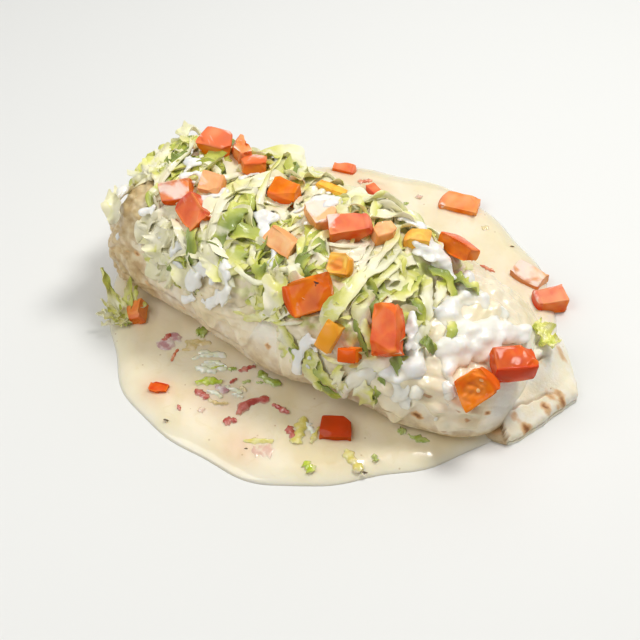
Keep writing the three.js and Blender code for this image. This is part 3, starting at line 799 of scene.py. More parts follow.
def make_roll(material):
    roll = new_grid("tortilla_roll", *ROLL_CELLS)
    grid = unit_points_of(roll)
    reach = grid[:, 0] * 2 * (1 + CAP["share"])
    inside = np.clip(reach, -1, 1)
    share = np.clip(1 - (np.abs(reach) - 1) / CAP["share"], 0, 1)
    share = np.where(share < 1, np.sin(share * np.pi / 2), 1)
    around = 90 - 360 * grid[:, 1]
    angle = np.radians(around)
    middle = (ROLL["left"] + ROLL["right"]) / 2
    half = (ROLL["right"] - ROLL["left"]) / 2 * CAP["start"]
    x = middle + half * (0.6 * np.sin(inside * np.pi / 2) + 0.4 * inside)
    detail, coat, wrinkles = roll_detail(x, around)
    points = skin_point(x, angle, 0, share)
    push = unit(skin_point(x, angle, 1.0, 1) - skin_point(x, angle, 0, 1))
    points += push * (detail * share)[:, None]
    points[:, 0] += np.sign(reach) * CAP["bulge"] * (1 - share**2)
    points[:, 2] = np.maximum(points[:, 2], 0)
    move_points(roll, points)
    flat = flat_places(x, around * DEGREE)
    spots = [(spot_x, spot_around * DEGREE, *size) for spot_x, spot_around, *size in ROLL_SPOTS]
    toast = spot_depth(x + 0.35 * ripples(flat, 3, 11), around * DEGREE + 0.35 * ripples(flat, 3, 12), spots)
    # Tan on the bare left end, and painted shade towards the underside at the front and the back, deeper low
    # on the right of the front.
    low = ramp(around, 158, 196) + 1 - ramp(around, -30, 22)
    dry = 0.9 * ramp(-x, 62, 80) + 0.72 * low + 0.4 * ramp(x, 50, 75) * ramp(around, 175, 205)
    dry = np.clip(dry, 0, 1) * (1 - 0.4 * ramp(ripples(flat, 7, 13), 0.4, 1.2))
    paint(roll, coat=coat, toast=toast, dry=dry, crease=0.5 * wrinkles)
    weld(roll)
    finish_piece(roll, material, "tortilla", "tortilla")


def tail_thickness(out, across):
    """How high the tail's top stands, from its root (out 0) to its tip."""
    rim = (1 - out**24) ** 0.5 * (1 - np.abs(2 * across - 1) ** 30) ** 0.5
    wave = 0.8 * np.sin(across * 9 + out * 3) * out
    return TAIL["edge"] * (0.6 + 0.4 * rim) + TAIL["rise"] * (1 - out) ** 1.3 + wave * rim


def flap_lines(x, y):
    """How far each place lies beyond the crack in the folded edge, and beyond its torn end."""
    flat = flat_places(x, y)
    crack = x - (84 + 0.55 * (y + 20)) + 0.5 * ripples(flat, 9, 26)
    torn = x - (86 - 1.1 * (y + 20)) + 0.7 * ripples(flat, 4, 29) + 0.3 * ripples(flat, 1.8, 30)
    return crack, torn


def make_tail(material):
    tail = new_split_cube("tortilla_tail", 1, TAIL_CUTS)
    out, across, up = unit_points_of(tail).T + 0.5
    # Its outline, with round corners, a slant at the back and a torn tip.
    round_corners = (1 - (2 * across - 1) ** 12) ** 0.25
    short = TAIL["skew"] * np.maximum(1 - across / TAIL["corner"], 0)
    slant = TAIL["back_slant"] * np.maximum((across - TAIL["corner"]) / (1 - TAIL["corner"]), 0) ** 1.3
    edge_line = flat_places(across * 60, out * 9)
    torn_tip = 0.4 * ripples(edge_line, 16, 21) + 0.15 * ripples(edge_line, 3, 22)
    tip = TAIL["tip"] - short - slant + torn_tip * ramp(out, 0.8, 1)
    x = TAIL["root"] + (tip - TAIL["root"]) * (0.86 + 0.14 * round_corners) * out
    frayed = 0.2 * ripples(flat_places(out * 50, up * 4), 8, 23)
    y = TAIL["front"] + (TAIL["back"] - TAIL["front"]) * across + frayed * (1 - ramp(across, 0, 0.08))
    # Its top, with two swells, a cracked fold, a slit and the hole past the torn end.
    flat = flat_places(x, y)
    high = tail_thickness(out, across) + 0.35 * ripples(flat, 24, 24) + 0.18 * ripples(flat, 7, 25) * out
    front_swell = 4 * bump(x, 87, 6) * ramp(y, -22, -10)
    back_swell = 6 * bump(x, 85, 9) * ramp(y, -4, 10) * (1 - ramp(y, 20, 32))
    high += front_swell + back_swell
    crack, torn = flap_lines(x, y)
    along_crack = band(y, -22, -19, -1, 5)
    high += (0.7 * ramp(crack, -0.3, 0.3) - 0.5) * along_crack * (1 - ramp(crack, 5, 9))
    groove = bump(crack, -0.3, 0.55) * along_crack
    slit = bump(x - 87.3 - 0.41 * (y - 7), 0, 0.5) * bump(y, 8, 3.4)
    near_front = 1 - ramp(y, -20.6, -19.6)
    hole = (1 - ramp(torn, -0.3, 0.3)) * near_front
    high -= 1.1 * groove
    high -= 1.2 * slit
    high -= 3.2 * hole
    z = high * up
    # The fold between its two layers, round its free edges.
    outer = ramp(out, 0.9, 1)
    front_side = 1 - ramp(across, 0, 0.06)
    back_side = ramp(across, 0.94, 1)
    fold = bump(up, 0.52, 0.09)
    x -= fold * outer
    y += 0.9 * fold * (front_side - back_side)
    move_points(tail, np.stack([x, y, np.maximum(z, 0)], -1))
    toast = spot_depth(x + 0.4 * ripples(flat, 3, 27), y + 0.4 * ripples(flat, 3, 28), TAIL_SPOTS)
    top = ramp(up, 0.6, 0.9)
    side = np.maximum(np.maximum(outer, front_side), back_side)
    torn_line = bump(torn, -0.4, 0.5) * (1 - ramp(y, -20.6, -19.6))
    # Painted shade for the crack's groove, the fold between the layers, the torn edge and the slit, and
    # painted shadow for the hole past the torn end.
    crease = np.clip(groove + 0.6 * fold * side + 0.5 * hole + 0.8 * torn_line + 1.6 * slit * top, 0, 1.6)
    # The hole past the torn end also gets painted shadow through the tan mask.
    paint(tail, coat=0.0, toast=toast * top, crease=crease, dry=0.8 * hole)
    finish_piece(tail, material, "tortilla", "tortilla")


def tortilla_material():
    look = Look("tortilla", soft=0.25, reach=(2.5, 1.6, 1.0))
    coat = look.attribute("coat")
    ragged = look.calculate("SUBTRACT", look.noise(3, 4), 0.5, clamp=False)
    coated = look.between(look.calculate("MULTIPLY_ADD", ragged, 0.25, coat, clamp=False), 0.3, 0.6)
    bare = look.mottled(90.0, "tortilla", "tortilla_dark")
    bare = look.layer(bare, "#faf5ea", look.between(look.noise(5, 5, 0.7), 0.46, 0.7, 0.0, 0.7))
    # Tan on the bare left end, and painted shade towards the underside and in the hole past the tail's torn
    # end.
    tan = look.mottled(260.0, "#dbc496", "#c3a475")
    bare = look.layer(bare, tan, "dry")
    bare = look.layer(bare, "#a97c48", look.specks(210.0, 0.16, 0.12), 0.55)
    browned = look.calculate("MULTIPLY_ADD", ragged, 0.6, look.attribute("toast"), clamp=False)
    bare = look.layer(bare, "#dfae6c", look.between(browned, 0.06, 0.5, 0.0, 0.75))
    bare = look.layer(bare, "toast", look.between(browned, 0.4, 0.95, 0.0, 0.9))
    bare = look.layer(bare, "#6d3d17", look.between(browned, 0.8, 1.1, 0.0, 0.8))
    # Painted shade in the creases, along the wrap's free edge and lip, and in the tail's grooves and hole.
    bare = look.layer(bare, "#8f6c45", "crease", 0.6)
    sauce = look.mottled(75.0, "queso", "queso_dark")
    sauce = look.layer(sauce, "#b57c42", look.between(browned, 0.35, 0.85, 0.0, 0.8))
    sauce = look.layer(sauce, "#6b5a35", look.specks(170.0, 0.09, 0.16), 0.8)
    look.give("Base Color", look.mix_colours(coated, bare, sauce))
    look.give("Roughness", look.mix_values(coated, 0.58, 0.26))
    look.give("Coat Weight", look.calculate("MULTIPLY", coated, 0.25))
    # Fine grain of the bare skin, for the bump only.
    dry = look.noise(1.6, 6, 0.65)
    wet = look.noise(5, 2)
    look.bumps(look.mix_values(coated, dry, wet), 0.45, 0.7)
    return look.material


# ---- The sauce pool ---------------------------------------------------------------------

# Bits in the sauce: kind, places (x, y), width and how far they stand out.
POOL_BITS = [
    ("onion", [(-53, -54), (-53, -49), (-52, -43)], 7.5, 0.5),
    ("pepper", [(-54.5, -49.6), (-54.7, -45.0)], 3.0, 1.0),
    ("salmon", [(-45.5, -57.2), (-47.0, -50.2)], 1.7, 0.5),
    ("tan", [(-45, -50), (-41, -43)], 6, 0.2),
    ("pale", [(-38.7, -52.0), (-36.1, -47.8), (-31.9, -45.9)], 2.8, 1.0),
    ("pale", [(-35, -55), (-31, -54), (-26, -53)], 3.6, 1.1),
    ("pale", [(-33.5, -50.8), (-29.3, -48.3), (-23.9, -48.3)], 2.4, 1.0),
    ("lime", [(-30, -62), (-26, -58), (-21, -56)], 3.8, 1.2),
    ("lime", [(-28.8, -52.6), (-25.2, -48.5)], 1.3, 1.2),
    ("pale", [(-23.6, -63.2), (-19.9, -62.2), (-16.6, -62.8)], 2.2, 0.9),
    ("onion", [(-22, -59), (-16, -59)], 3.8, 0.8),
    ("pepper", [(-18.1, -54.8), (-17.2, -51.8)], 1.7, 0.7),
    ("pepper", [(-28, -65), (-21, -66)], 3.4, 0.9),
    ("tan", [(-20.8, -66.5), (-16.0, -66.6), (-12.8, -64.1)], 1.8, 0.7),
    ("green", [(-8.7, -49.2), (-6.7, -48.0)], 1.6, 0.7),
    ("green", [(-22.7, -48.7), (-20.2, -47.2)], 2.4, 0.7),
    ("pepper", [(-18.5, -47.5), (-14.5, -41.9)], 2.6, 0.8),
    ("green", [(-11, -43), (-7, -46), (-0, -45)], 4.2, 1.0),
    ("green", [(-46, -38), (-42, -36)], 6.0, 1.3),
    ("pepper", [(-6, -67), (-7, -62), (-4, -57), (-0, -54)], 4.0, 1.2),
    ("pepper", [(2.9, -55.4), (10.8, -56.1)], 2.6, 1.0),
    ("pepper", [(-9, -73), (-5, -70)], 3.6, 1.0),
    ("pepper", [(14, -62), (19, -66)], 3.2, 1.0),
    ("yellow", [(17, -55), (19, -60), (21, -68)], 5.0, 1.2),
    ("pale", [(19, -57), (25, -60)], 3.2, 1.0),
    ("yellow", [(24.9, -56.6), (26.2, -64.7)], 2.6, 1.1),
    ("yellow", [(3.3, -77.1), (8.0, -74.3), (13.0, -71.3)], 2.8, 0.8),
    ("pink", [(9, -80), (15, -74)], 7.5, 0.3),
    ("lime", [(29, -74), (34, -76)], 4.0, 1.0),
    ("pepper", [(-29.3, -75.2), (-27.1, -76.9)], 1.4, 0.5),
    ("pink", [(-20.7, -73.6), (-18.9, -71.4)], 2.4, 0.5),
    ("green", [(-13.6, -52.1), (-11.8, -49.7)], 2.0, 0.6),
    ("tan", [(-13.4, -54.5), (-9.9, -54.9)], 1.6, 0.6),
    ("pale", [(-14.1, -59.3), (-9.5, -58.4)], 1.6, 0.7),
    ("yellow", [(39.5, -60.7), (44.2, -64.2), (49.6, -66.0)], 4.2, 1.2),
    ("green", [(49.9, -57.2), (52.0, -59.4)], 2.4, 0.9),
    ("green", [(52.0, -42.0), (54.7, -40.5)], 3.6, 1.0),
    ("green", [(56.2, -41.5), (60.8, -41.0), (64.9, -40.2)], 3.5, 0.3),
    ("pale", [(-19.4, 70.6), (-14.8, 70.9), (-9.9, 70.6)], 2.6, 1.2),
    ("lime", [(-15.6, 65.7), (-10.3, 66.5)], 2.6, 0.9),
    ("pale", [(-7.4, 70.8), (-4.0, 72.1)], 2.4, 0.6),
    ("green", [(-10.7, 77.9), (-9.4, 80.3)], 2.0, 0.4),
    ("salmon", [(-37.0, 82.0), (-31.4, 85.4)], 3.0, 0.8),
    ("green", [(-35.2, 71.4), (-32.8, 74.5)], 2.0, 0.5),
    ("salmon", [(37.6, 59.7), (45.2, 59.1)], 2.2, 0.6),
    ("tan", [(27.5, 82.4), (29.5, 84.4)], 3.0, 0.2),
    ("pink", [(-8.3, 86.0), (-6.3, 88.1)], 2.6, 0.3),
    ("green", [(-60, 50), (-55, 55), (-49, 56)], 3.0, 0.8),
    ("pepper", [(-66, 44), (-62, 48)], 2.4, 0.8),
    ("dark", [(-29.3, -84.2), (-28.4, -83.8)], 0.9, 0.3),
    ("dark", [(50.6, -66.3), (51.4, -65.9)], 0.9, 0.3),
    ("dark", [(44, 78), (44.8, 78.3)], 0.8, 0.3),
    ("dark", [(5.6, -79.9), (6.4, -79.5)], 0.7, 0.3),
    ("pale", [(-38.5, -47.5), (-33, -45), (-27.6, -43.5)], 4.0, 0.75),
    ("pale", [(-33.5, -52.5), (-29, -51.2), (-23.5, -49.2)], 5.0, 0.75),
    ("tan", [(-47, -45.5), (-42, -42.5), (-37, -41)], 5.5, 0.2),
    ("pale", [(-19.5, -58.5), (-14.5, -56.5), (-11, -56.8)], 2.6, 0.7),
]

POOL_TURNS = 330  # rows of points round each half of the pool
POOL_RINGS = 64
POOL_CORE = 20  # always under the wrap
BIT_CELLS = (16, 6)  # along a bit and across it

# Red juice stains the sauce round these: x, y, reach, strength.
STAINS = [(-41, -72, 6.5, 0.5), (-26, -66, 6, 0.22), (0, -78, 9, 0.16), (12, 91, 11, 0.2), (-47, 86, 8, 0.35)]
STAINS += [(-26, 79, 7.5, 0.35), (59, 64, 9, 0.25), (-15, -66, 9, 0.2), (31, -54, 8, 0.25), (6, -80, 8, 0.22)]

# Dice that stand in the pool: x, y and the reach of the sauce drawn up round them.
POOL_DICE = [(31, -54, 7), (12, 91, 8), (-41, -72, 4), (-72, -44, 5), (59, 64, 7), (73, 55, 7), (-47, 86, 5)]
POOL_DICE += [(-26, 79, 5)]


def wrap_edge(x, side):
    """How far the wrap reaches from the X axis at the sauce's level, to its front (-1) or its back (1)."""
    taper = end_taper(x, 0)
    front, back, half_high, level = roll_section(x, taper)
    low = np.clip((level - POOL["level"]) / np.maximum(half_high * taper, 1e-6), 0, 1) ** (1 / SECTION_POWER)
    half, tail_half, tail_tip = (front, -TAIL["front"], 90) if side < 0 else (back, TAIL["back"], 92)
    roll = half * taper * np.sqrt(1 - low**2) ** SECTION_POWER
    return np.maximum(roll, np.where((x > TAIL["root"] + 6) & (x < tail_tip), tail_half, 0))


def pool_places(reach, turns):
    """x and y of places at a reach from the pool's middle, one row for each turn."""
    return POOL["x"] + reach * np.cos(turns)[:, None], POOL["y"] + reach * np.sin(turns)[:, None]


def make_pool_side(name, side, material, node):
    # Each turn from the wrap's edge to the rim, where the two are far enough apart.
    turns = np.radians(side * np.linspace(1, 179, POOL_TURNS))
    reaches = np.arange(POOL_CORE, 104, 0.25)[None]
    outer = pool_radius(turns)
    x, y = pool_places(reaches, turns)
    within = (y * side < wrap_edge(x, side)) & (x > ROLL["left"]) & (x < 93)
    inner = np.max(np.where(within, reaches, POOL_CORE), axis=1)
    keep = outer - inner > 0.6
    turns, outer, inner = turns[keep], outer[keep], inner[keep]
    inner = eased(inner, mode="edge")
    start = inner - POOL["under"]
    reach = start[:, None] + (outer - start)[:, None] * (np.linspace(0, 1, POOL_RINGS) ** 0.8)[None]
    x, y = pool_places(reach, turns)
    # A round rim, calm swells, and sauce drawn up by the wrap, the dice and the bits.
    from_rim = outer[:, None] - reach
    from_wrap = np.maximum(reach - inner[:, None], 0)
    rounded = (1 - np.clip(1 - from_rim / POOL["rim"], 0, 1) ** 1.8) ** 0.7
    z = POOL["foot"] + (POOL["level"] - POOL["foot"]) * rounded
    flat = flat_places(x, y).reshape(-1, 3)
    calm = ramp(from_rim, 0, 8)
    z += calm * (0.16 * ripples(flat, 24, 31) + 0.1 * ripples(flat, 9, 32)).reshape(x.shape)
    z += 1.1 * np.exp(-from_wrap / 1.6) * calm
    for die_x, die_y, die_reach in POOL_DICE:
        z += 0.5 * bump(np.hypot(x - die_x, y - die_y), die_reach, 2.2) * calm
    for _, places, wide, proud in POOL_BITS:
        bit_x, bit_y = np.mean(places, axis=0)
        z += 0.3 * proud * bump(np.hypot(x - bit_x, y - bit_y), 0, wide) * calm
    pool = closed_sheet(name, np.stack([x, y, z], -1), np.stack([x, y, 0 * z], -1))
    weld(pool, 0.001)
    x, y, _ = points_of(pool).T
    stain = np.zeros(len(x))
    for stain_x, stain_y, stain_reach, strength in STAINS:
        stain += strength * bump(np.hypot(x - stain_x, y - stain_y), 0, stain_reach)
    turn = np.arctan2(y - POOL["y"], x - POOL["x"])
    inward = pool_radius(turn) - np.hypot(y - POOL["y"], x - POOL["x"])
    paint(pool, stain=np.clip(stain, 0, 1), rim=1 - ramp(inward, 0, POOL["rim"]))
    finish_piece(pool, material, "cheese_sauce", node, crease=CREASES["sheet"])


def queso_material():
    look = Look("cheese_sauce", roughness=0.16, soft=0.35, reach=(4.0, 3.0, 1.6), gloss=0.35, gloss_blur=0.06)
    base = look.mottled(38.0, "queso", "queso_dark")
    base = look.layer(base, "#e2d0a2", look.between(look.noise(9, 5, 0.6, 1.5), 0.55, 0.72, 0.0, 0.35))
    base = look.layer(base, "#faf3e0", "rim", 0.4)
    base = look.layer(base, "#e48a5e", "stain", 0.75)
    base = look.layer(base, "#5d4a2a", look.specks(120.0, 0.07, 0.22), 0.85)
    base = look.layer(base, "#b0884f", look.specks(330.0, 0.2, 0.08), 0.4)
    base = look.layer(base, "#8b9b3c", look.specks(75.0, 0.075, 0.1), 0.7)
    look.give("Base Color", base)
    look.bumps(look.noise(6, 3), 0.25, 0.5)
    return look.material


# Each kind of bit: its two colours and the material slot it goes with.
BIT_KINDS = {
    "pepper": ("#b84238", "#d38376", "tomato_red"),
    "onion": ("#c08e94", "#eadfda", "tomato_red"),
    "pink": ("#e2b9a6", "#ecd9c4", "tomato_red"),
    "green": ("#93a83c", "#c3cf86", "lettuce"),
    "lime": ("#b3c823", "#d6df72", "lettuce"),
    "pale": ("#f7f8ec", "#e9edca", "lettuce"),
    "yellow": ("#ddd06a", "#ebe3a4", "lettuce"),
    "dark": ("#4a3a24", "#6b5836", "cheese_sauce"),
    "tan": ("#dcc486", "#e8d6a6", "cheese_sauce"),
    "salmon": ("#dc7450", "#eea884", "tomato_red"),
}


def bit_material(kind, deep, light):
    look = Look(f"bits_{kind}", roughness=0.2, soft=0.25, reach=(1.4, 0.9, 0.6), gloss=0.6, gloss_blur=0.05)
    base = look.mottled(280.0, deep, light)
    sunk = look.film(170.0, 0.3)
    dipped = look.calculate("MAXIMUM", look.attribute("dip"), look.calculate("MULTIPLY", sunk, 0.55))
    look.give("Base Color", look.layer(base, "queso", dipped))
    look.bumps(look.noise(1.2, 4), 0.2, 0.5)
    return look.material


def make_pool_bits():
    blank = Blank(*BIT_CELLS)
    bundles = {}
    draw = np.random.default_rng(SEEDS["bits"])
    for kind, places, wide, proud in POOL_BITS:
        x, y = smooth_path(places, blank.stations)
        share = np.linspace(0, 1, blank.stations)
        height = POOL["level"] + proud - 0.9 + 0.35 * np.sin(np.pi * share)
        centres = np.stack([x, y, height], -1)
        blunt = 0.5 + 0.5 * np.sin(np.pi * share) ** 0.3
        uneven = 1 + 0.24 * np.sin(share * 9 + draw.uniform(0, 6))
        uneven = uneven + 0.2 * np.sin(share * 21 + draw.uniform(0, 6))
        upright = np.array([[0, 0, 1.0]] * blank.stations)
        points = blank.bend(centres, upright, wide / 2 * blunt * uneven, 1.8, -0.5 * proud)
        points += (0.18 * ripples(points, 2.5, 42))[:, None] * np.array([0.3, 0.3, 1.0])
        points[:, :2] += 0.16 * np.stack([ripples(points, 1.7, 43), ripples(points, 1.7, 44)], -1)
        dip = 1 - ramp(points[:, 2], POOL["level"] - 0.1, POOL["level"] + 0.45 * proud + 0.1)
        bundles.setdefault(kind, Bundle()).add(points, blank.faces, dip=dip)
    for kind, bundle in bundles.items():
        deep, light, slot = BIT_KINDS[kind]
        piece = bundle.piece(f"sauce_bits_{kind}")
        material = bit_material(kind, deep, light)
        finish_piece(piece, material, slot, "sauce_front", "sauce_back", crease=CREASES["bit"])


# ---- The tomatoes -----------------------------------------------------------------------

# For each die: how much cream clings to it, where its skin is, and where its seeds show.
# Sides are told by the die's own axes: 0 along it, 1 across it towards the back, 2 up.
DICE_FILM = {1: 0.34, 2: 0.42, 3: 0.2, 4: 0.42, 5: 0.42, 6: 0.3, 8: 0.3, 9: 0.55, 10: 0.46, 11: 0.3, 12: 0.15}
DICE_FILM |= {14: 0.12, 15: 0.1, 18: 0.08, 19: 0.1, 20: 0.25, 23: 0.3, 25: 0.3, 26: 0.62, 27: 0.62}
DICE_FILM |= {28: 0.3, 29: 0.3}
SKIN_SIDES = {1: (2, 1), 3: (2, 1), 7: (0, 1), 10: (1, 1), 13: (1, -1), 17: (1, 1), 18: (0, 1)}
SKIN_SIDES |= {19: (2, 1), 22: (2, 1)}
SEED_SIDES = {17: (2, 1), 6: (1, -1), 2: (2, 1), 21: (1, -1), 12: (2, 1), 25: (1, -1), 28: (1, -1)}
# How pale (above 0) or deep (below 0) a die is.
DICE_TONE = {1: 0.1, 2: 0.35, 3: 0.15, 4: 0.3, 5: -0.1, 6: -0.1, 8: 0.1, 9: 0.35, 10: 0.2, 11: 0.05}
DICE_TONE |= {13: -0.5, 16: -0.1, 17: -0.15, 18: -0.5, 19: -0.1, 22: -0.7, 23: 0.4, 24: 0.1, 25: 0.2}
DICE_TONE |= {26: -0.25, 27: 0.15, 28: 0.3, 29: 0.2}
# Dice that are narrower at one end: the axis, its sign and how much.
NARROWED = {1: (0, -1, 0.3), 2: (0, 1, 0.3), 7: (1, 1, 0.3), 13: (0, 1, 0.12), 14: (0, -1, 0.42)}
NARROWED |= {17: (0, -1, 0.3)}
# Dice that others cut into are smoothed this many times.
SOFTENED = {2: 5, 3: 3, 11: 2, 17: 2, 18: 2}
# A dark fleck: the die it lies on and its place in shares of the die's half sizes.
FLECK = (13, (-0.5, 0.45, 1.0))
# Each kind of tomato: the colour of its skin and of its flesh.
TOMATO_COLOURS = {
    "tomato_red": ("#e24000", "#ec6400"),
    "tomato_orange": ("#e86000", "#f58600"),
    "tomato_pale": ("#ee9a50", "#f6bf80"),
    "tomato_amber": ("#f0a018", "#f9cf52"),
}
DICE_COUNT = 29
DIE_CUTS = 26
DIE_SQUARENESS = 14
LEAST_FILM = 0.04


def node_slots():
    return {row["node"]: row["material_slot"] for row in frame["record"]["subparts"]}


def die_axes(mesh):
    """The die's own directions, from its flat sides: along it, across it to the back, and up."""
    normals = np.array([list(face.normal) for face in mesh.polygons])
    areas = np.array([face.area for face in mesh.polygons])
    flat = (np.abs(normals @ normals.T) > 0.999) @ areas
    first = normals[np.argmax(flat)]
    second = normals[np.argmax(flat * (np.abs(normals @ first) < 0.3))]
    second = unit(second - first * (second @ first))
    spread = np.stack([first, second, np.cross(first, second)])
    up = spread[np.argmax(np.abs(spread[:, 2]))]
    up = up * np.sign(up[2])
    along = next(axis for axis in spread if abs(axis @ up) < 0.5)
    across = np.cross(up, along)
    flip = 1 if across[1] > 0 else -1
    return np.stack([along * flip, across * flip, up])


def follow_solid(points, node):
    """Draws points in to the hull of a CAD solid where it lies well inside them."""
    hull = frame["nodes"][node].copy()
    hull.data = frame["nodes"][node].data.copy()
    bpy.context.scene.collection.objects.link(hull)
    edit_mesh(hull, (bpy.ops.mesh.convex_hull, {}))
    corners = [vertex.co for vertex in hull.data.vertices]
    tree = BVHTree.FromPolygons(corners, [list(face.vertices) for face in hull.data.polygons])
    centre = np.mean(corners, axis=0)
    bpy.data.objects.remove(hull)
    ways = points * MM - centre
    reach = np.linalg.norm(ways, axis=1)
    found = [tree.ray_cast(Vector(centre), Vector(way))[3] for way in ways]
    solid = np.array([far if hit is None else hit for hit, far in zip(found, reach)])
    cut = ramp((reach - solid) / MM, 0.9, 1.6)
    return points - ways / MM * (cut * (1 - solid / reach))[:, None]


def cut_corners(share, draw):
    """Knife cuts across three corners, so that no two dice are the same."""
    for _ in range(3):
        way = draw.choice([-1, 1], 3) * draw.permutation([1.0, 0.9, draw.uniform(0, 0.6)])
        way = unit(way)
        over = np.maximum(share @ way - draw.uniform(1.12, 1.3), 0)
        share = share - way * over[:, None]
    return share


def make_die(number, materials, slots):
    node = f"tomato_{number:02d}"
    solid = frame["nodes"][node]
    axes = die_axes(solid.data)
    corners = points_of(solid) @ axes.T
    middle = (corners.max(0) + corners.min(0)) / 2
    half = (corners.max(0) - corners.min(0)) / 2
    die = new_split_cube(f"tomato_dice_{number:02d}", 2, DIE_CUTS)
    draw = np.random.default_rng(number)
    share = unit_points_of(die)
    share /= np.sum(np.abs(share) ** DIE_SQUARENESS, axis=1, keepdims=True) ** (1 / DIE_SQUARENESS)
    move_points(die, follow_solid((middle + share * half) @ axes, node))
    if number in SOFTENED:
        put_modifier(die, "SMOOTH", factor=0.5, iterations=SOFTENED[number])
    # From here on the die is told in shares of its half sizes.
    share = (points_of(die) @ axes.T - middle) / half
    share = cut_corners(share, draw)
    narrowing = (draw.integers(0, 2), draw.choice([-1, 1]), draw.uniform(0.05, 0.2))
    axis, sign, amount = NARROWED.get(number, narrowing)
    share[:, 1 - axis] *= 1 - amount * (share[:, axis] * sign + 1) / 2
    share[:, 2] *= 1 - draw.uniform(0, 0.18) * (share[:, 1 - axis] * draw.choice([-1, 1]) + 1) / 2
    order = np.sort(np.abs(share), axis=1)
    # How near each point lies to an edge; the material paints a lighter glow there.
    edge = ramp(order[:, 1], 0.72, 0.95)
    # One side has skin and is domed.
    skin_axis, skin_sign = SKIN_SIDES.get(number, (int(draw.integers(0, 2)), int(draw.choice([-1, 1]))))
    others = [axis for axis in range(3) if axis != skin_axis]
    toward = share[:, skin_axis] * skin_sign
    dome = np.prod(1 - np.minimum(share[:, others] ** 2, 1), axis=1)
    skin = ramp(toward, 0.6, 0.86)
    share[:, skin_axis] += skin_sign * skin * (0.1 * dome - 0.1 * (1 - dome))
    # Some show seeds in a hollow.
    gel = np.zeros(len(share))
    if number in SEED_SIDES:
        axis, sign = SEED_SIDES[number]
        rest = [other for other in range(3) if other != axis]
        reach = np.hypot(share[:, rest[0]] - 0.15, share[:, rest[1]] * 1.1 + 0.1)
        wobble = 0.12 * ripples(share * half, 5, number + 20)
        gel = (1 - ramp(reach + wobble, 0.4, 0.72)) * ramp(share[:, axis] * sign, 0.4, 0.8)
    points = (middle + share * half) @ axes
    move_points(die, points)
    normals = normals_of(die)
    # Cut faces sink a little between their edges.
    cut_face = (1 - skin) * (1 - edge)
    uneven = -0.36 * cut_face + 0.14 * ripples(points, 7, number) * (1 - 0.7 * skin)
    uneven += gel * (0.5 * ripples(points, 3.4, 7) - 0.6)
    points += normals * uneven[:, None]
    points[:, 2] = np.maximum(points[:, 2], LEAST_HEIGHT)
    move_points(die, points)
    film = DICE_FILM.get(number, LEAST_FILM) * ramp(normals[:, 2], -0.1, 0.6)
    tone = DICE_TONE.get(number, 0.0) + 0.25 * ripples(points, 9, number + 40)
    from_fleck = (share - np.array(FLECK[1])) * half
    lobes = 1 + 0.45 * np.sin(3 * np.arctan2(from_fleck[:, 1], from_fleck[:, 0]))
    fleck = bump(np.linalg.norm(from_fleck, axis=1) * lobes, 0, 0.9) * (number == FLECK[0])
    paint(die, fleck=fleck, skin=skin, gel=gel, film=film, edge=edge)
    paint(die, pale=np.clip(tone, 0, 1), deep=np.clip(-tone, 0, 1))
    finish_piece(die, materials[slots[node]], slots[node], node, crease=CREASES["die"])


def tomato_material(name, skin_colour, flesh_colour):
    look = Look(name, roughness=0.22, soft=0.14, reach=(1.4, 0.6, 0.1), gloss=0.18, gloss_blur=0.05)
    look.give("Specular IOR Level", 0.06)
    fibres = look.noise(5, 3, 0.5, 0.8)
    flesh = look.layer(colour(flesh_colour), skin_colour, look.between(fibres, 0.3, 0.85))
    flesh = look.layer(flesh, "#f79a30", look.between(look.noise(8, 2, 0.5, 1.5), 0.45, 0.8, 0.0, 0.22))
    # Painted light: a lighter glow along the die's edges.
    flesh = look.layer(flesh, "#fba335", "edge", 0.42)
    base = look.layer(flesh, skin_colour, "skin")
    base = look.layer(base, "#f5b070", "pale", 0.9)
    base = look.layer(base, "#b03c00", "deep", 0.8)
    base = look.layer(base, "#ee8a30", "gel", 0.8)
    base = look.layer(base, "#3a1406", look.between(look.attribute("fleck"), 0.4, 0.6))
    seeds = look.specks(330.0, 0.33, 0.5)
    base = look.layer(base, "#f6d9a0", look.calculate("MULTIPLY", seeds, look.attribute("gel")), 0.7)
    film = look.film(70.0, look.attribute("film"))
    wash = look.calculate("MULTIPLY", look.attribute("film"), 0.24)
    cover = look.calculate("MAXIMUM", look.calculate("MULTIPLY", film, 0.74), wash)
    look.give("Base Color", look.layer(base, "#f8f0e8", cover))
    look.bumps(look.noise(2.5, 2), 0.12, 0.4)
    return look.material


# ---- The lettuce ------------------------------------------------------------------------

SHRED_STEPS = 26
SHRED_COLUMNS = 6
CORE_CELLS = (150, 90)  # along the heap and around it
FRILL_CELLS = (90, 26)  # along the scrap and across it
TUFT_FOOT = (-75, -49)

# Where the sauce shows through the lettuce: x, around and the reach along each.
CLEARINGS = [(-21, 138, 10, 16), (-25, 158, 13, 12), (-6, 164, 17, 15), (-84, 140, 9, 20), (24, 162, 9, 12)]
CLEARINGS += [(41, 84, 9, 22), (-38, 146, 7, 12)]

# Strands that hang down the front: the number of the CAD strand, then as for LEAVES.
STRANDS = [
    (1, [(-62, 148), (-59, 158), (-57, 170)], 6.5, 0.9, 0.5, 0.3),
    (1, [(-52, 146), (-52, 155), (-50, 163)], 3.5, 1.2, 0.5, 0.7),
    (2, [(-44, 154), (-43, 164), (-41, 176)], 5, 0.8, 0.5, 0.25),
    (2, [(-40, 158), (-38, 168)], 3, 0.9, 0.5, 0.5),
    (3, [(3, 152), (4, 163), (7, 180)], 5.5, 0.9, 0.5, 0.12),
    (3, [(6, 154), (8, 165), (10, 182)], 3.5, 1.2, 0.5, 0.5),
    (4, [(12, 156), (17, 172), (19, 190)], 6.5, 1.0, 0.5, 0.22),
    (4, [(16, 160), (22, 176), (30, 184)], 4.5, 1.2, 0.5, 0.42),
    (5, [(43, 150), (45, 160), (44, 170), (42, 184)], 3.2, 1.3, 0.5, 0.9),
]

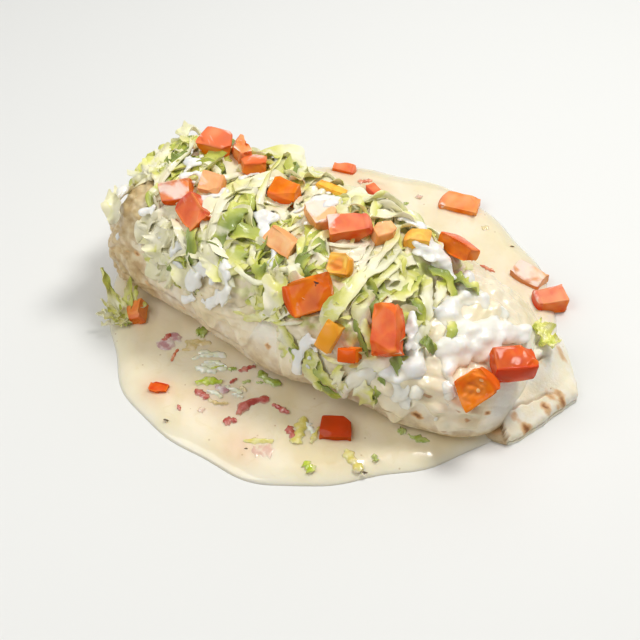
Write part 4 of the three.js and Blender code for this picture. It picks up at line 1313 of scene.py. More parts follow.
# Leaves laid one by one: places (x, around), width, height above the heap, curl and tint.
LEAVES = [
    ([(-24, 118), (-30, 123), (-37, 121), (-43, 114), (-45, 105), (-41, 98), (-36, 95)], 9.5, 2.6, 1.3, 0.08),
    ([(-52, 107), (-46, 100), (-42, 91), (-35, 86), (-29, 79)], 7.5, 3.6, 0.9, 0.1),
    ([(-50, 72), (-46, 64), (-38, 61), (-32, 66), (-33, 74)], 11, 5.5, 1.0, 0.22),
    ([(-7, 119), (-9, 128), (-12, 142)], 5.5, 2.2, 0.8, 0.12),
    ([(-6, 112), (-1, 118), (4, 126)], 6, 3.2, 1.2, 0.02),
    ([(6, 122), (2, 134), (-6, 141), (-14, 145)], 6.5, 2.4, 0.8, 0.15),
    ([(10, 127), (4, 138), (-2, 146), (-9, 151)], 4, 2.0, 0.8, 0.3),
    ([(-68, 132), (-62, 141), (-56, 152)], 13, 1.8, 0.5, 0.1),
    ([(-59, 150), (-57, 160), (-54, 171)], 7.5, 0.8, 0.4, 0.26),
    ([(-52, 152), (-51, 160), (-50, 169)], 3.5, 1.2, 0.5, 0.72),
    ([(-84, 94), (-80, 100), (-74, 106)], 6.5, 2.2, 0.7, 0.2),
    ([(-86, 86), (-82, 80), (-76, 76)], 4.5, 2.6, 0.7, 0.62),
    ([(-60, 126), (-54, 130), (-47, 130)], 6, 2.6, 0.8, 0.16),
    ([(-88, 92), (-81, 82), (-74, 75)], 6, 1.0, 0.5, 0.5),
    ([(-91, 116), (-88, 126), (-84, 137)], 8.5, 2.4, 1.8, 0.1),
    ([(-42, 132), (-36, 128)], 6, 1.2, 0.4, 1.0),
    ([(-50, 139), (-44, 136)], 6, 1.2, 0.4, 1.0),
    ([(-25, 106), (-19, 101)], 5, 2.2, 0.4, 0.95),
    ([(-51, 147), (-51, 160)], 4, 2.4, 0.5, 0.8),
    ([(1, 110), (4, 121)], 6, 1.8, 0.6, 0.95),
    ([(-74, 104), (-66, 112), (-60, 122)], 5, 2.2, 0.8, 0.3),
    ([(-78, 96), (-72, 88)], 5, 3.0, 0.8, 0.7),
    ([(8, 84), (16, 78), (24, 70), (33, 68)], 6, 3.4, 1.0, 0.12),
    ([(26, 88), (26, 95), (25, 104), (23, 116), (21, 128), (19, 141)], 7, 3.4, 0.9, 0.08),
    ([(29, 92), (30, 101), (27, 112), (25, 122)], 4, 2.6, 0.9, 0.3),
    ([(22, 109), (27, 111), (33, 116)], 6.5, 2.4, 1.2, 0.85),
    ([(28, 107), (35, 108), (39, 102), (38, 92)], 4.5, 3.0, 0.8, 0.5),
    ([(41, 90), (46, 99), (50, 112)], 5, 3.2, 0.5, 0.12),
    ([(1, 102), (-1, 111), (1, 119)], 5.5, 2.8, 0.8, 0.85),
    ([(-21, 86), (-18, 83), (-12, 78)], 6, 3.2, 0.9, 0.04),
    ([(-11, 151), (-5, 142), (0, 135)], 5, 1.8, 0.8, 0.2),
    ([(34, 104), (32, 114), (33, 122)], 5, 3.4, 0.8, 0.75),
    ([(-16, 84), (-10, 76), (-2, 70), (6, 70)], 7, 3.0, 1.0, 0.12),
    ([(-26, 92), (-18, 86), (-12, 92)], 6, 3.2, 1.3, 0.05),
    ([(40, 88), (47, 86), (52, 90)], 4.5, 2.8, 0.6, 0.6),
    ([(47, 80), (53, 82), (60, 78)], 5.5, 3.4, 0.9, 0.62),
    ([(45, 88), (49, 94), (48, 102)], 4.5, 4.2, 0.8, 0.2),
    ([(41, 101), (46, 105), (49, 112)], 4, 3.6, 0.8, 0.6),
    ([(51, 117), (54, 118), (58, 121)], 4, 3.6, 0.8, 0.85),
    ([(56, 100), (60, 106), (60, 113)], 3.5, 4.4, 0.8, 0.4),
    ([(36, 164), (38, 174), (41, 190)], 7.5, 0.5, 0.3, 0.14),
    ([(18, 182), (24, 188), (30, 192)], 4.5, 0.5, 0.4, 0.55),
    ([(27, 164), (29, 174), (31, 182)], 5.5, 0.6, 0.4, 0.15),
]


def die_spots():
    """The middle and reach of each die on the roll, from the frame."""
    spots = []
    for number in range(1, DICE_COUNT + 1):
        low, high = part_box(f"tomato_{number:02d}")
        spots.append((np.array((low + high) / 2) / MM, np.array((high - low) / 2) / MM))
    return spots


def lay_leaf(places, lift):
    """Centre line and outward directions of one leaf along its places."""
    x, around = smooth_path(places, SHRED_STEPS + 1, (1.0, DEGREE))
    share = np.linspace(0, 1, SHRED_STEPS + 1)
    on_heap = heap_share(x, around)
    height = on_heap * heap_height(x, around) * 0.75 + lift * (0.35 + 0.65 * np.sin(np.pi * share))
    angle = np.radians(around)
    return skin_point(x, angle, height), outward(x, angle)


def lay_strips(x, around, heading, turn, long, base, arch, wave, seed):
    """Centres and outward directions of many strips over the heap, each an array (stations, strips, 3)."""
    draw = np.random.default_rng(seed)
    phase = draw.uniform(0, 6.3, len(x))
    bend = draw.normal(0, 45, len(x))
    fold = draw.uniform(0.25, 0.75, len(x))
    first = np.radians(heading)
    at_x = x - np.cos(first) * long / 2
    at_angle = np.radians(around) + np.sin(first) * long / 2 / SKIN_RADIUS
    centres, ups = [], []
    for i in range(SHRED_STEPS + 1):
        share = i / SHRED_STEPS
        at_around = np.degrees(at_angle)
        on_heap = heap_share(at_x, at_around, ramp(at_x, HEAP["left"], HEAP["left"] + 5))
        dome = arch * np.sin(np.pi * share) ** 0.8
        flutter = wave * np.sin(share * 9 + phase) * np.sin(np.pi * share)
        drop = 1.2 * abs(2 * share - 1) ** 4
        lift = on_heap * heap_height(at_x, at_around) * base + dome + flutter + SHRED_LIFT - drop
        centres.append(skin_point(at_x, at_angle, np.maximum(lift, 0.7)))
        ups.append(outward(at_x, at_angle))
        kink = bend * (ramp(share, fold - 0.05, fold + 0.05) - 0.5)
        way = np.radians(heading + turn * (share - 0.5) + 16 * np.sin(share * 5 + phase) + kink)
        at_x = at_x + np.cos(way) * long / SHRED_STEPS
        at_angle = at_angle - np.sin(way) * long / SHRED_STEPS / SKIN_RADIUS
    return np.array(centres), np.array(ups)


def twisted(ups, tangents, degrees_round):
    """Turns the outward directions about the strip's own line."""
    angle = np.radians(degrees_round)[:, None]
    return ups * np.cos(angle) + np.cross(tangents, ups) * np.sin(angle)


def strip_copy(blank, centres, ups, wide, twist, curl, tint, draw, pointed=0.0):
    """One shred's points and its paint. pointed narrows its far end."""
    share = np.linspace(0, 1, blank.stations)
    tangents = unit(np.gradient(centres, axis=0))
    turned = twisted(ups, tangents, twist * np.sin(np.pi * 2 * share * 0.8 + draw.uniform(0, 6.3)))
    blunt = (0.55 + 0.45 * np.sin(np.pi * np.clip(share, 0.02, 0.98)) ** 0.4)[blank.station]
    edge = flat_places(blank.share * 30, blank.across * 5)
    ragged = 1 + 0.24 * ripples(edge, 9, int(draw.integers(1e6)), 4)
    ragged = ragged + 0.1 * ripples(edge, 3, int(draw.integers(1e6)), 3)
    ruffle = 0.17 * wide * np.sin(share * draw.uniform(8, 26) + draw.uniform(0, 6.3))
    slant = draw.uniform(-1.2, 1.2)
    half_width = wide / 2 * blunt * np.clip(ragged, 0.4, 1.5) * (1 - pointed * blank.share**1.5)
    cup = curl * wide * 0.16
    points = blank.bend(centres, turned, half_width, shape("shred_thickness"), cup, ruffle, slant)
    leaf_side = draw.choice([-1, 1])
    shade = tint + 0.3 * leaf_side * blank.across * tint**0.5
    shade = np.clip(shade + 0.2 * np.sin(blank.share * 6 + draw.uniform(0, 6)), 0, 1)
    sauced = 0.46 + 0.36 * ramp(-points[:, 0], 20, 60) * ramp(-points[:, 1], 4, 28)
    sauced = sauced * (1 - 0.8 * tint)
    return points, dict(tint=shade, vein=blank.across * wide, run=blank.share, sauced=sauced)


def from_clearings(x, around):
    """For each clearing, how far places lie from its middle. Its rim is at 1."""
    middle_x, middle_around, reach_x, reach_around = np.array(CLEARINGS, float).T[..., None]
    return np.hypot((x - middle_x) / reach_x, (around - middle_around) / reach_around)


def fills_clearing(points):
    """Whether a good part of a shred lies well inside one of the clearings."""
    around, _ = skin_place(points)
    within = from_clearings(points[:, 0], around) < 0.8
    return np.any(np.mean(within, axis=1) > 0.3)


def scatter_shreds(blank, count, seed, spots):
    """Shreds over the heap in layers, those that would cross a die left out."""
    draw = np.random.default_rng(seed)
    tries = count * 2
    x = draw.uniform(HEAP["left"] + 2, HEAP["right"] + 2, tries)
    around = draw.triangular(HEAP["back"] + 2, 105, HEAP["front"] - 2, tries)
    heading = draw.uniform(-80, 70, tries) + np.where(draw.random(tries) < 0.4, 180, 0)
    turn = draw.normal(0, 55, tries)
    broad = draw.random(tries) < 0.36
    long = np.where(broad, draw.uniform(13, 26, tries), draw.uniform(16, 42, tries))
    wide = np.where(broad, draw.uniform(6, 10.5, tries), draw.uniform(1.5, 4.6, tries))
    layer = np.linspace(0.25, 1.05, tries)
    arch = draw.uniform(0.2, 3.6, tries) * (0.4 + 0.6 * layer) * (1 - 0.6 * ramp(-x, 55, 78))
    wave = draw.uniform(0, 0.9, tries)
    twist = np.where(broad, draw.uniform(0, 30, tries), draw.uniform(0, 60, tries))
    green = draw.random(tries) < 0.15
    tint = np.where(green, draw.uniform(0.42, 0.8, tries), draw.beta(1.3, 4.2, tries) * 0.62)
    tint = tint * (1 - 0.5 * ramp(-x, 62, 88))
    centres, ups = lay_strips(x, around, heading, turn, long, layer, arch, wave, seed)
    clear = np.ones(tries, bool)
    for middle, half in spots:
        away = np.abs(centres[..., :2] - middle[:2]) / (half[:2] * 0.8 + wide[None, :, None] * 0.15)
        over = (np.max(away, axis=-1) < 1) & (centres[..., 2] > middle[2] - 0.1 * half[2])
        clear &= ~np.any(over, axis=0)
    leftmost = centres[..., 0].min(0)
    inside = (leftmost > -97) & (centres[..., 0].max(0) < 52) & (centres[..., 2].min(0) > 24)
    bare = (leftmost < -77) & (around > 100)
    bare |= np.any(from_clearings(x, around) < 1, axis=0)
    bundles = [Bundle(), Bundle(), Bundle()]
    for i, k in enumerate(np.flatnonzero(clear & inside & ~bare)[-count:]):
        curl = draw.uniform(-1, 1.4)
        points, look = strip_copy(blank, centres[:, k], ups[:, k], wide[k], twist[k], curl, tint[k], draw)
        if not fills_clearing(points):
            bundles[i % len(bundles)].add(points, blank.faces, **look)
    draw = np.random.default_rng(SEEDS["leaves"])
    for places, wide, lift, curl, tint in LEAVES:
        points, look = strip_copy(blank, *lay_leaf(places, lift + SHRED_LIFT), wide, 10, curl, tint, draw)
        bundles[0].add(points, blank.faces, **look)
    return bundles


def make_heap_core(material):
    """The wet mass of lettuce and sauce that the shreds lie on."""
    u, v = np.meshgrid(*(np.linspace(0, 1, cells) for cells in CORE_CELLS), indexing="ij")
    left_end = HEAP["left"] + 3 * np.sin(v * 11)
    x = left_end + (HEAP["right"] + 4 * np.sin(v * 8) - HEAP["left"] - 3 * np.sin(v * 11)) * u
    around = heap_front(x) + (heap_back(x) - heap_front(x)) * v
    flat = flat_places(x, around * DEGREE).reshape(-1, 3)
    rough = (0.8 * ripples(flat, 7, 61) + 0.5 * ripples(flat, 3.5, 62)).reshape(x.shape)
    rim = np.minimum(np.minimum(u, 1 - u) * 12, np.minimum(v, 1 - v) * 9)
    lift = (heap_height(x, around) - 1.2 + rough) * np.clip(rim, 0, 1) ** 0.5 + 0.2
    top = skin_point(x, np.radians(around), lift)
    bottom = skin_point(x, np.radians(around), np.full(x.shape, -1.5))
    core = closed_sheet("lettuce_core", top, bottom)
    weld(core, 0.001)
    points = points_of(core)
    around, _ = skin_place(points)
    sauced = 0.5 + 0.5 * ramp(-points[:, 0], 55, 78) + 0.5 * ramp(around, 138, 150)
    bare = ramp(-points[:, 0] + 1.5 * ripples(points, 6, 63), 71, 78) * ramp(around, 92, 108)
    paint(core, sauced=np.clip(sauced, 0, 1), bare=bare)
    finish_piece(core, material, "lettuce", "lettuce", crease=CREASES["sheet"])


def make_strands(blank, material):
    draw = np.random.default_rng(SEEDS["strands"])
    bundles = {}
    for number, places, wide, lift, curl, tint in STRANDS:
        points, look = strip_copy(blank, *lay_leaf(places, lift), wide, 8, curl, tint, draw)
        points[:, 2] = np.maximum(points[:, 2], 1.0)
        bundles.setdefault(number, Bundle()).add(points, blank.faces, **look)
    for number, bundle in bundles.items():
        strand = bundle.piece(f"lettuce_hanging_{number}")
        finish_piece(strand, material, "lettuce", f"lettuce_strand_{number}", crease=CREASES["leaf"])


# Blades of the tuft: compass direction, rise in degrees, length, width, tint.
TUFT_BLADES = [
    (155, 62, 27, 6.8, 0.22),
    (150, 48, 20, 4.6, 0.3),
    (100, 42, 18, 7.5, 0.3),
    (112, 55, 21, 6.6, 0.45),
    (215, 30, 15, 6.0, 0.08),
    (195, 22, 13, 5.0, 0.1),
    (60, 30, 14, 5.5, 0.2),
    (240, 14, 13, 5.0, 0.05),
    (180, 40, 16, 4.5, 0.15),
]


def make_tuft(blank, material):
    """Shreds that fan up out of the sauce against the roll's left end."""
    draw = np.random.default_rng(SEEDS["tuft"])
    bundle = Bundle()
    foot = np.array([*TUFT_FOOT, POOL["level"] + 1.4])
    upward = np.array([0, 0, 1.0])
    for compass, rise, long, wide, tint in TUFT_BLADES:
        way = np.array([np.cos(np.radians(compass)), np.sin(np.radians(compass)), 0])
        share = np.linspace(0, 1, blank.stations)
        climb = np.radians(rise) * ramp(share, -0.25, 1)
        step = long / (blank.stations - 1)
        run = np.cumsum(np.cos(climb)) * step - 3
        lift = np.cumsum(np.sin(climb)) * step
        centres = foot + way * run[:, None] + upward * lift[:, None]
        ups = upward * np.cos(climb)[:, None] - way * np.sin(climb)[:, None]
        points, look = strip_copy(blank, centres, ups, wide, 14, 1.3, tint, draw, pointed=0.8)
        points[:, 2] = np.maximum(points[:, 2], LEAST_HEIGHT)
        look["sauced"] = 0.42 - 0.3 * ramp(points[:, 2], 4, 12)
        bundle.add(points, blank.faces, **look)
    tuft = bundle.piece("lettuce_tuft_blades")
    finish_piece(tuft, material, "lettuce", "lettuce_tuft", crease=CREASES["leaf"])


# Spikes on the frilled scrap's edge: share along it, side and length.
FRILL_SPIKES = [(0.02, 1, 1.5), (0.2, 1, 0.8), (0.4, 1, 3.6), (0.6, 1, 1.2), (0.76, 1, 2.0), (0.95, 1, 1.4)]
FRILL_SPIKES += [(0.0, -1, 1.2), (0.22, -1, 1.8), (0.45, -1, 0.9), (0.66, -1, 2.4), (0.9, -1, 1.6)]


def make_frill(material):
    """A frilled scrap of leaf in the crease beside the last die."""
    rows, columns = FRILL_CELLS
    u, v = np.meshgrid(np.linspace(0, 1, rows), np.linspace(-1, 1, columns), indexing="ij")
    x = 79.5 + 12.5 * u
    y = 20.3 - 7.5 * u
    z = 23.8 + 1.2 * np.sin(u * 7)
    edge = np.abs(v)
    reach = 2.9 * (0.4 + 0.6 * np.sin(np.pi * np.clip(u, 0.03, 0.97)) ** 0.6)
    for at, side, long in FRILL_SPIKES:
        reach = reach + long * np.clip(1 - np.abs(u - at) / 0.1, 0, 1) ** 1.3 * (v * side > 0) * edge
    flat = np.stack([x, y, 6 * v], -1).reshape(-1, 3)
    frill = (1.3 * edge**1.5).ravel() * (np.sin(u * 19 + v * 2).ravel() + 0.6 * ripples(flat, 3, 97))
    frill = frill.reshape(u.shape) + 0.25 * ripples(flat, 2.2, 98).reshape(u.shape)
    top = np.stack([x + 0.5 * reach * v, y + 0.85 * reach * v, z + frill + 0.3], -1)
    scrap = closed_sheet("lettuce_frilled_scrap", top, top - np.array([0, 0, 0.6]))
    points = points_of(scrap)
    paint(scrap, tint=0.3 + 0.16 * ripples(points, 4, 99), vein=points[:, 1], run=0.5, sauced=0.1)
    finish_piece(scrap, material, "lettuce", "lettuce_frill", crease=CREASES["leaf"])


# The lettuce's greens, from its heart to its outer leaves.
GREENS = [(0.14, "#fdfadc"), (0.3, "#f6f2b0"), (0.48, "#e4e36a"), (0.72, "#bac42e"), (1.0, "#7c9012")]


def lettuce_material():
    look = Look("lettuce", roughness=0.3, soft=0.12, reach=(1.2, 1.3, 0.9), gloss=0.34, gloss_blur=0.06)
    tint = look.attribute("tint")
    cloudy = look.calculate("MULTIPLY_ADD", look.noise(6, 3), 0.35, tint, clamp=False)
    green = look.add("ValToRGB", {"Fac": cloudy})
    elements = green.node.color_ramp.elements
    while len(elements) < len(GREENS):
        elements.new(0.5)
    for element, (position, text) in zip(elements, GREENS):
        element.position = position
        element.color = colour(text)
    ribs = look.add("TexWave", {"Scale": 0.55, "Distortion": 2.0, "Detail": 2.0}, output=1)
    line = look.add("CombineXYZ", {"X": look.attribute("vein"), "Y": look.attribute("run")})
    look.feed(ribs.node.inputs["Vector"], line)
    base = look.layer(green, "lettuce_pale", look.between(ribs, 0.55, 0.95, 0.0, 0.3))
    film = look.film(110.0, look.attribute("sauced"))
    look.give("Base Color", look.layer(base, "#fbf5de", film, 0.7))
    look.bumps(look.mix_values(0.5, ribs, look.noise(1.5, 3)), 0.25, 0.6)
    return look.material


def core_material():
    look = Look("lettuce_and_sauce", roughness=0.3, soft=0.3, gloss=0.2)
    green = look.mottled(210.0, "#eceab8", "#cbd07a")
    sauce = look.mottled(120.0, "queso", "queso_dark")
    wet = look.layer(green, sauce, look.film(90.0, look.attribute("sauced")))
    tan = look.mottled(230.0, "#dbc79b", "#c4a97a")
    look.give("Base Color", look.layer(wet, tan, "bare"))
    look.bumps(look.noise(2, 4), 0.5, 0.6)
    return look.material


# ---- The sour cream ---------------------------------------------------------------------

# Lumps: x, around, radius along and around, height.
LUMPS = [
    (66, 93, 11, 10, 3.5),
    (60, 104, 10, 10, 3),
    (50, 97, 8, 10, 3),
    (74, 87, 6.5, 6.5, 7),
    (78, 80, 5.5, 5.5, 5.5),
    (70, 98, 6.5, 6, 6.8),
    (69, 106, 6, 5, 5.5),
    (75, 101, 5, 5.5, 5),
    (59, 107, 4.5, 5, 5.5),
    (58, 118, 6, 5, 4.2),
    (65, 115, 6, 5, 4.2),
    (53, 92, 4.5, 5, 5.5),
    (55, 86, 5, 4.5, 5.5),
    (60, 80, 6, 4.5, 5),
    (68, 76, 5, 4, 4),
    (53, 139, 6, 6, 6.5),
    (50, 152, 4, 4.5, 4.5),
    (50, 167, 3.2, 4, 3),
    (57, 155, 4.5, 6, 3),
    (63, 126, 5, 5, 3.2),
    (68, 147, 3.5, 7, 1.8),
    (66, 180, 2.4, 3, 1.4),
    (46, 112, 4, 5, 4.5),
    (48, 121, 4, 5, 5),
    (51, 130, 4.5, 5, 4.5),
    (44, 146, 7, 8, 3),
    (52, 76, 7, 6, 3),
]

DRIP_LUMPS = [(38, 158, 5, 7, 3), (35, 166, 4.2, 6, 2.8), (32, 176, 3.2, 5, 2.4)]
DRIP_LUMPS += [(30, 184, 2.8, 4, 2.4), (29, 189, 3, 3, 3)]

# Drops of cream on the sauce below the lumps: x, around, radius.
CREAM_SPOTS = [
    (49, 158, 2.8),
    (53, 142, 3.6),
    (52, 160, 3.2),
    (54, 174, 2.6),
    (66, 143, 2.4),
    (-88, 124, 2.4),
    (-74, 151, 1.6),
    (-86, 156, 1.5),
    (-60, 163, 1.6),
]

# Dribbles over the lettuce: places (x, around), height above the lettuce and radius.
DRIBBLES = [
    ([(-62, 138), (-60, 137)], 1.8, 2.5),
    ([(-51, 135), (-53, 145), (-49, 150)], 1.6, 1.8),
    ([(-42, 160), (-41, 149), (-40, 140), (-36, 141), (-31, 145)], 1.8, 1.9),
    ([(-43, 158), (-41, 149)], 1.7, 2.7),
    ([(-37, 128), (-32, 128), (-28, 133), (-25, 140), (-25, 148), (-28, 158)], 1.7, 1.9),
    ([(-45, 174), (-40, 167)], 1.0, 1.8),
    ([(-30, 101), (-24, 104), (-20, 110)], 2.6, 2.3),
    ([(-28, 99), (-22, 97)], 2.8, 2.6),
    ([(-65, 101), (-62, 96), (-57, 97)], 4.2, 1.7),
    ([(45, 110), (48, 118), (50, 128)], 4.6, 2.2),
    ([(-52, 106), (-48, 103), (-46, 98)], 3.2, 2.0),
    ([(-88, 118), (-85, 124)], 3.0, 2.0),
    ([(-92, 130), (-90, 138)], 1.0, 2.0),
    ([(-72, 88), (-68, 93), (-64, 92)], 3.0, 2.0),
    ([(-46, 90), (-42, 84)], 3.2, 2.6),
    ([(-18, 92), (-12, 84), (-6, 79)], 3.0, 2.4),
    ([(14, 148), (13, 158), (12, 170), (11, 180)], 0.6, 2.2),
    ([(-27, 150), (-31, 160), (-34, 169)], 0.8, 1.8),
    ([(-73, 128), (-70, 122)], 1.8, 1.8),
    ([(20, 74), (28, 72), (34, 76)], 2.5, 1.8),
    ([(-9, 92), (-4, 88)], 5.5, 2.0),
    ([(31, 84), (36, 80), (42, 80), (48, 83)], 2.2, 3.6),
    ([(-14, 112), (-11, 120)], 2.4, 1.6),
    ([(48, 152), (51, 160), (50, 170)], -1.0, 2.6),
    ([(55, 144), (56, 151)], -1.0, 2.2),
    ([(66, 138), (70, 146)], -1.0, 1.8),
]


DRIBBLE_GRAIN = 0.55
LUMP_SMOOTHING = 32
DRIBBLE_SMOOTHING = 14


def lump_blobs(lumps, draw):
    """Each lump is a wide soft ball with a higher and a smaller one on it."""
    blobs = []
    for x, around, along_radius, around_radius, rise in lumps:
        angle = np.radians(around)
        up = outward(x, angle)
        for share, height in ((1, 0.35), (0.62, 0.95)):
            radii = np.array([along_radius * share, around_radius * share, rise * height])
            blobs.append((skin_point(x, angle, 0.2), up, radii))
        off_x = draw.uniform(-0.45, 0.45) * along_radius
        off_angle = draw.uniform(-0.45, 0.45) * around_radius / 28
        small = draw.uniform(0.45, 0.6) * min(along_radius, around_radius)
        lift = rise * draw.uniform(0.2, 0.55)
        blobs.append((skin_point(x + off_x, angle + off_angle, lift), up, np.full(3, small)))
    return blobs


def chain_blobs(places, lift, radius, draw):
    """A run of balls along a line on the skin."""
    places = np.array(places, float)
    reach = path_reach(places, (1.0, DEGREE))
    blobs = []
    phase = draw.uniform(0, 6.3)
    for at in np.arange(0, reach[-1] + 0.01, radius * 0.35):
        x = np.interp(at, reach, places[:, 0])
        angle = np.radians(np.interp(at, reach, places[:, 1]))
        height = heap_height(x, np.degrees(angle)) + lift + draw.uniform(-0.2, 0.1)
        up = outward(x, angle)
        swell = 0.85 + 0.4 * np.sin(at / radius * 1.1 + phase) + draw.uniform(-0.15, 0.15)
        blobs.append((skin_point(x, angle, height), up, radius * swell * np.array([1, 1, 0.42])))
        if draw.random() < 0.5:
            side_x = x + draw.normal(0, radius * 0.8)
            side_angle = angle + draw.normal(0, radius * 0.8) / SKIN_RADIUS
            size = radius * draw.uniform(0.5, 0.9) * np.array([1, 1, 0.3])
            blobs.append((skin_point(side_x, side_angle, height - 0.5), up, size))
    return blobs


def make_cream(material):
    draw = np.random.default_rng(SEEDS["cream"])
    for name, lumps, node in (
        ("sour_cream_lumps", LUMPS, "sour_cream"),
        ("sour_cream_run", DRIP_LUMPS, "cream_drip"),
    ):
        body = blob_body(name, lump_blobs(lumps, draw), shape("cream_grain"), LUMP_SMOOTHING)
        points = points_of(body)
        swell = 0.3 * ripples(points, 8, 92) + 0.08 * ripples(points, 3, 93)
        points += normals_of(body) * swell[:, None]
        points[:, 2] = np.maximum(points[:, 2], 1)
        move_points(body, points)
        _, lift = skin_place(points)
        paint(body, thin=1 - ramp(lift + 0.7 * ripples(points, 8, 95), 2.2, 4.2))
        finish_piece(body, material, "sour_cream", node)
    blobs = [blob for places, lift, radius in DRIBBLES for blob in chain_blobs(places, lift, radius, draw)]
    for x, around, radius in CREAM_SPOTS:
        angle = np.radians(around)
        size = radius * np.array([1.2, draw.uniform(1.0, 1.8), 0.26])
        blobs.append((skin_point(x, angle, 0.9), outward(x, angle), size))
    dribbles = blob_body("sour_cream_dribbles", blobs, DRIBBLE_GRAIN, DRIBBLE_SMOOTHING)
    points = points_of(dribbles)
    points += normals_of(dribbles) * (0.25 * ripples(points, 4, 94))[:, None]
    move_points(dribbles, points)
    paint(dribbles, thin=0.7 * ramp(points[:, 0], 38, 46) * ramp(skin_place(points)[0], 136, 150))
    finish_piece(dribbles, material, "sour_cream", "lettuce")


def cream_material():
    look = Look("sour_cream", roughness=0.3, soft=0.5, reach=(3.5, 3.0, 2.4), gloss=0.25, gloss_blur=0.12)
    base = look.mottled(120.0, "cream", "#f1efe6")
    look.give("Base Color", look.layer(base, "#f3ecd6", "thin", 0.85))
    look.bumps(look.noise(2.5, 2), 0.15, 0.3)
    return look.material


# ---- Operators --------------------------------------------------------------------------


class BURRITO_OT_tortilla(bpy.types.Operator):
    """Wrap the roll and its folded tail"""

    bl_idname = "burrito.tortilla"
    bl_label = "Tortilla"

    def execute(self, context):
        material = tortilla_material()
        make_roll(material)
        make_tail(material)
        return {"FINISHED"}


class BURRITO_OT_queso(bpy.types.Operator):
    """Pour the cheese sauce and drop in what floats in it"""

    bl_idname = "burrito.queso"
    bl_label = "Cheese sauce"

    def execute(self, context):
        material = queso_material()
        make_pool_side("sauce_pool_front", -1, material, "sauce_front")
        make_pool_side("sauce_pool_back", 1, material, "sauce_back")
        make_pool_bits()
        return {"FINISHED"}


class BURRITO_OT_lettuce(bpy.types.Operator):
    """Heap the shredded lettuce"""

    bl_idname = "burrito.lettuce"
    bl_label = "Lettuce"

    def execute(self, context):
        material = lettuce_material()
        make_heap_core(core_material())
        blank = Blank(SHRED_STEPS, SHRED_COLUMNS)
        count = context.scene.burrito_shape.shreds
        for number, bundle in enumerate(scatter_shreds(blank, count, SEEDS["shreds"], die_spots()), 1):
            shreds = bundle.piece(f"lettuce_shreds_{number}")
            finish_piece(shreds, material, "lettuce", "lettuce", crease=CREASES["leaf"])
        make_strands(blank, material)
        make_tuft(blank, material)
        make_frill(material)
        return {"FINISHED"}


class BURRITO_OT_cream(bpy.types.Operator):
    """Spoon on the sour cream"""

    bl_idname = "burrito.cream"
    bl_label = "Sour cream"

    def execute(self, context):
        make_cream(cream_material())
        return {"FINISHED"}


class BURRITO_OT_tomatoes(bpy.types.Operator):
    """Scatter the diced tomato"""

    bl_idname = "burrito.tomatoes"
    bl_label = "Diced tomato"

    def execute(self, context):
        materials = {name: tomato_material(name, *pair) for name, pair in TOMATO_COLOURS.items()}
        slots = node_slots()
        for number in range(1, DICE_COUNT + 1):
            make_die(number, materials, slots)
        return {"FINISHED"}


CAMERA = {"place": (197.6, -343.3, 405.5), "target": (-2.4, -10.4, 9.0), "lens": 75, "sensor": 36}
FLOOR = {"metres": 6, "colour": "#e5e6e5"}
ROOM_LIGHT = {"colour": "#fbfaf7", "strength": 0.3}
# Lamps: name, place, size, power in watts and tint.
LAMPS = [
    ("key_light", (200, 300, 780), 220, 4.2, "#fffdf8"),
    ("back_light", (-120, 520, 640), 700, 1.3, "#fdfeff"),
    ("front_light", (-260, -420, 620), 500, 2.4, "#fffefc"),
]


def aim(thing, target):
    way = Vector(target) * MM - thing.location
    thing.rotation_euler = way.to_track_quat("-Z", "Y").to_euler()


def add_lamp(name, place, size, power, tint):
    bpy.ops.object.light_add(type="AREA", location=Vector(place) * MM)
    lamp = bpy.context.object
    lamp.name = name
    lamp.data.size = size * MM
    lamp.data.energy = power
    lamp.data.color = to_linear(tint)
    aim(lamp, (0, 0, 0))


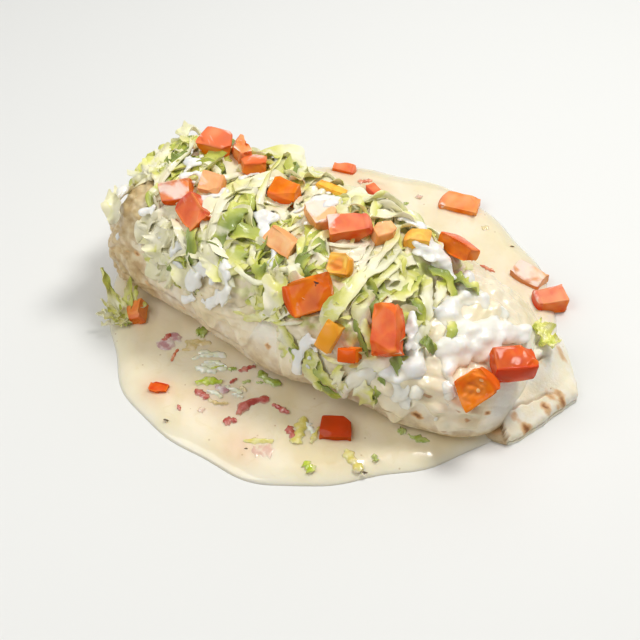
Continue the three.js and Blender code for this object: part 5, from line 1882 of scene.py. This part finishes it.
class BURRITO_OT_stage(bpy.types.Operator):
    """Set the pale floor, the soft lights and the camera"""

    bl_idname = "burrito.stage"
    bl_label = "Stage"

    def execute(self, context):
        floor = new_primitive(bpy.ops.mesh.primitive_plane_add, "floor", size=FLOOR["metres"])
        look = Look("pale_floor", roughness=0.6)
        look.give("Base Color", colour(FLOOR["colour"]))
        floor.data.materials.append(look.material)
        for lamp in LAMPS:
            add_lamp(*lamp)
        world = bpy.data.worlds.new("soft_room")
        context.scene.world = world
        world.use_nodes = True
        backdrop = world.node_tree.nodes["Background"].inputs
        backdrop["Color"].default_value = colour(ROOM_LIGHT["colour"])
        backdrop["Strength"].default_value = ROOM_LIGHT["strength"]
        context.scene.view_settings.view_transform = "Standard"
        bpy.ops.object.camera_add(location=Vector(CAMERA["place"]) * MM)
        camera = bpy.context.object
        camera.name = "camera"
        camera.data.lens = CAMERA["lens"]
        camera.data.sensor_width = CAMERA["sensor"]
        camera.data.clip_start = 0.01
        aim(camera, CAMERA["target"])
        context.scene.camera = camera
        return {"FINISHED"}


class BURRITO_PT_panel(bpy.types.Panel):
    """Lists the steps and the settings"""

    bl_idname = "BURRITO_PT_panel"
    bl_label = "Burrito"
    bl_space_type = "VIEW_3D"
    bl_region_type = "UI"
    bl_category = "Burrito"

    def draw(self, context):
        for step in STEPS:
            self.layout.operator(step.bl_idname)
        for group in (context.scene.burrito_shape, context.scene.burrito_colours):
            box = self.layout.box()
            for name in group.__annotations__:
                box.prop(group, name)


STEPS = (
    BURRITO_OT_tortilla,
    BURRITO_OT_queso,
    BURRITO_OT_lettuce,
    BURRITO_OT_cream,
    BURRITO_OT_tomatoes,
    BURRITO_OT_stage,
)
CLASSES = (BurritoShape, BurritoColours, *STEPS, BURRITO_PT_panel)


def register():
    for item in CLASSES:
        bpy.utils.register_class(item)
    bpy.types.Scene.burrito_shape = bpy.props.PointerProperty(type=BurritoShape)
    bpy.types.Scene.burrito_colours = bpy.props.PointerProperty(type=BurritoColours)


def unregister():
    del bpy.types.Scene.burrito_colours
    del bpy.types.Scene.burrito_shape
    for item in reversed(CLASSES):
        bpy.utils.unregister_class(item)


def main():
    register()
    bpy.ops.burrito.tortilla()
    bpy.ops.burrito.queso()
    bpy.ops.burrito.lettuce()
    bpy.ops.burrito.cream()
    bpy.ops.burrito.tomatoes()
    bpy.ops.burrito.stage()


if __name__ == "__main__":
    main()
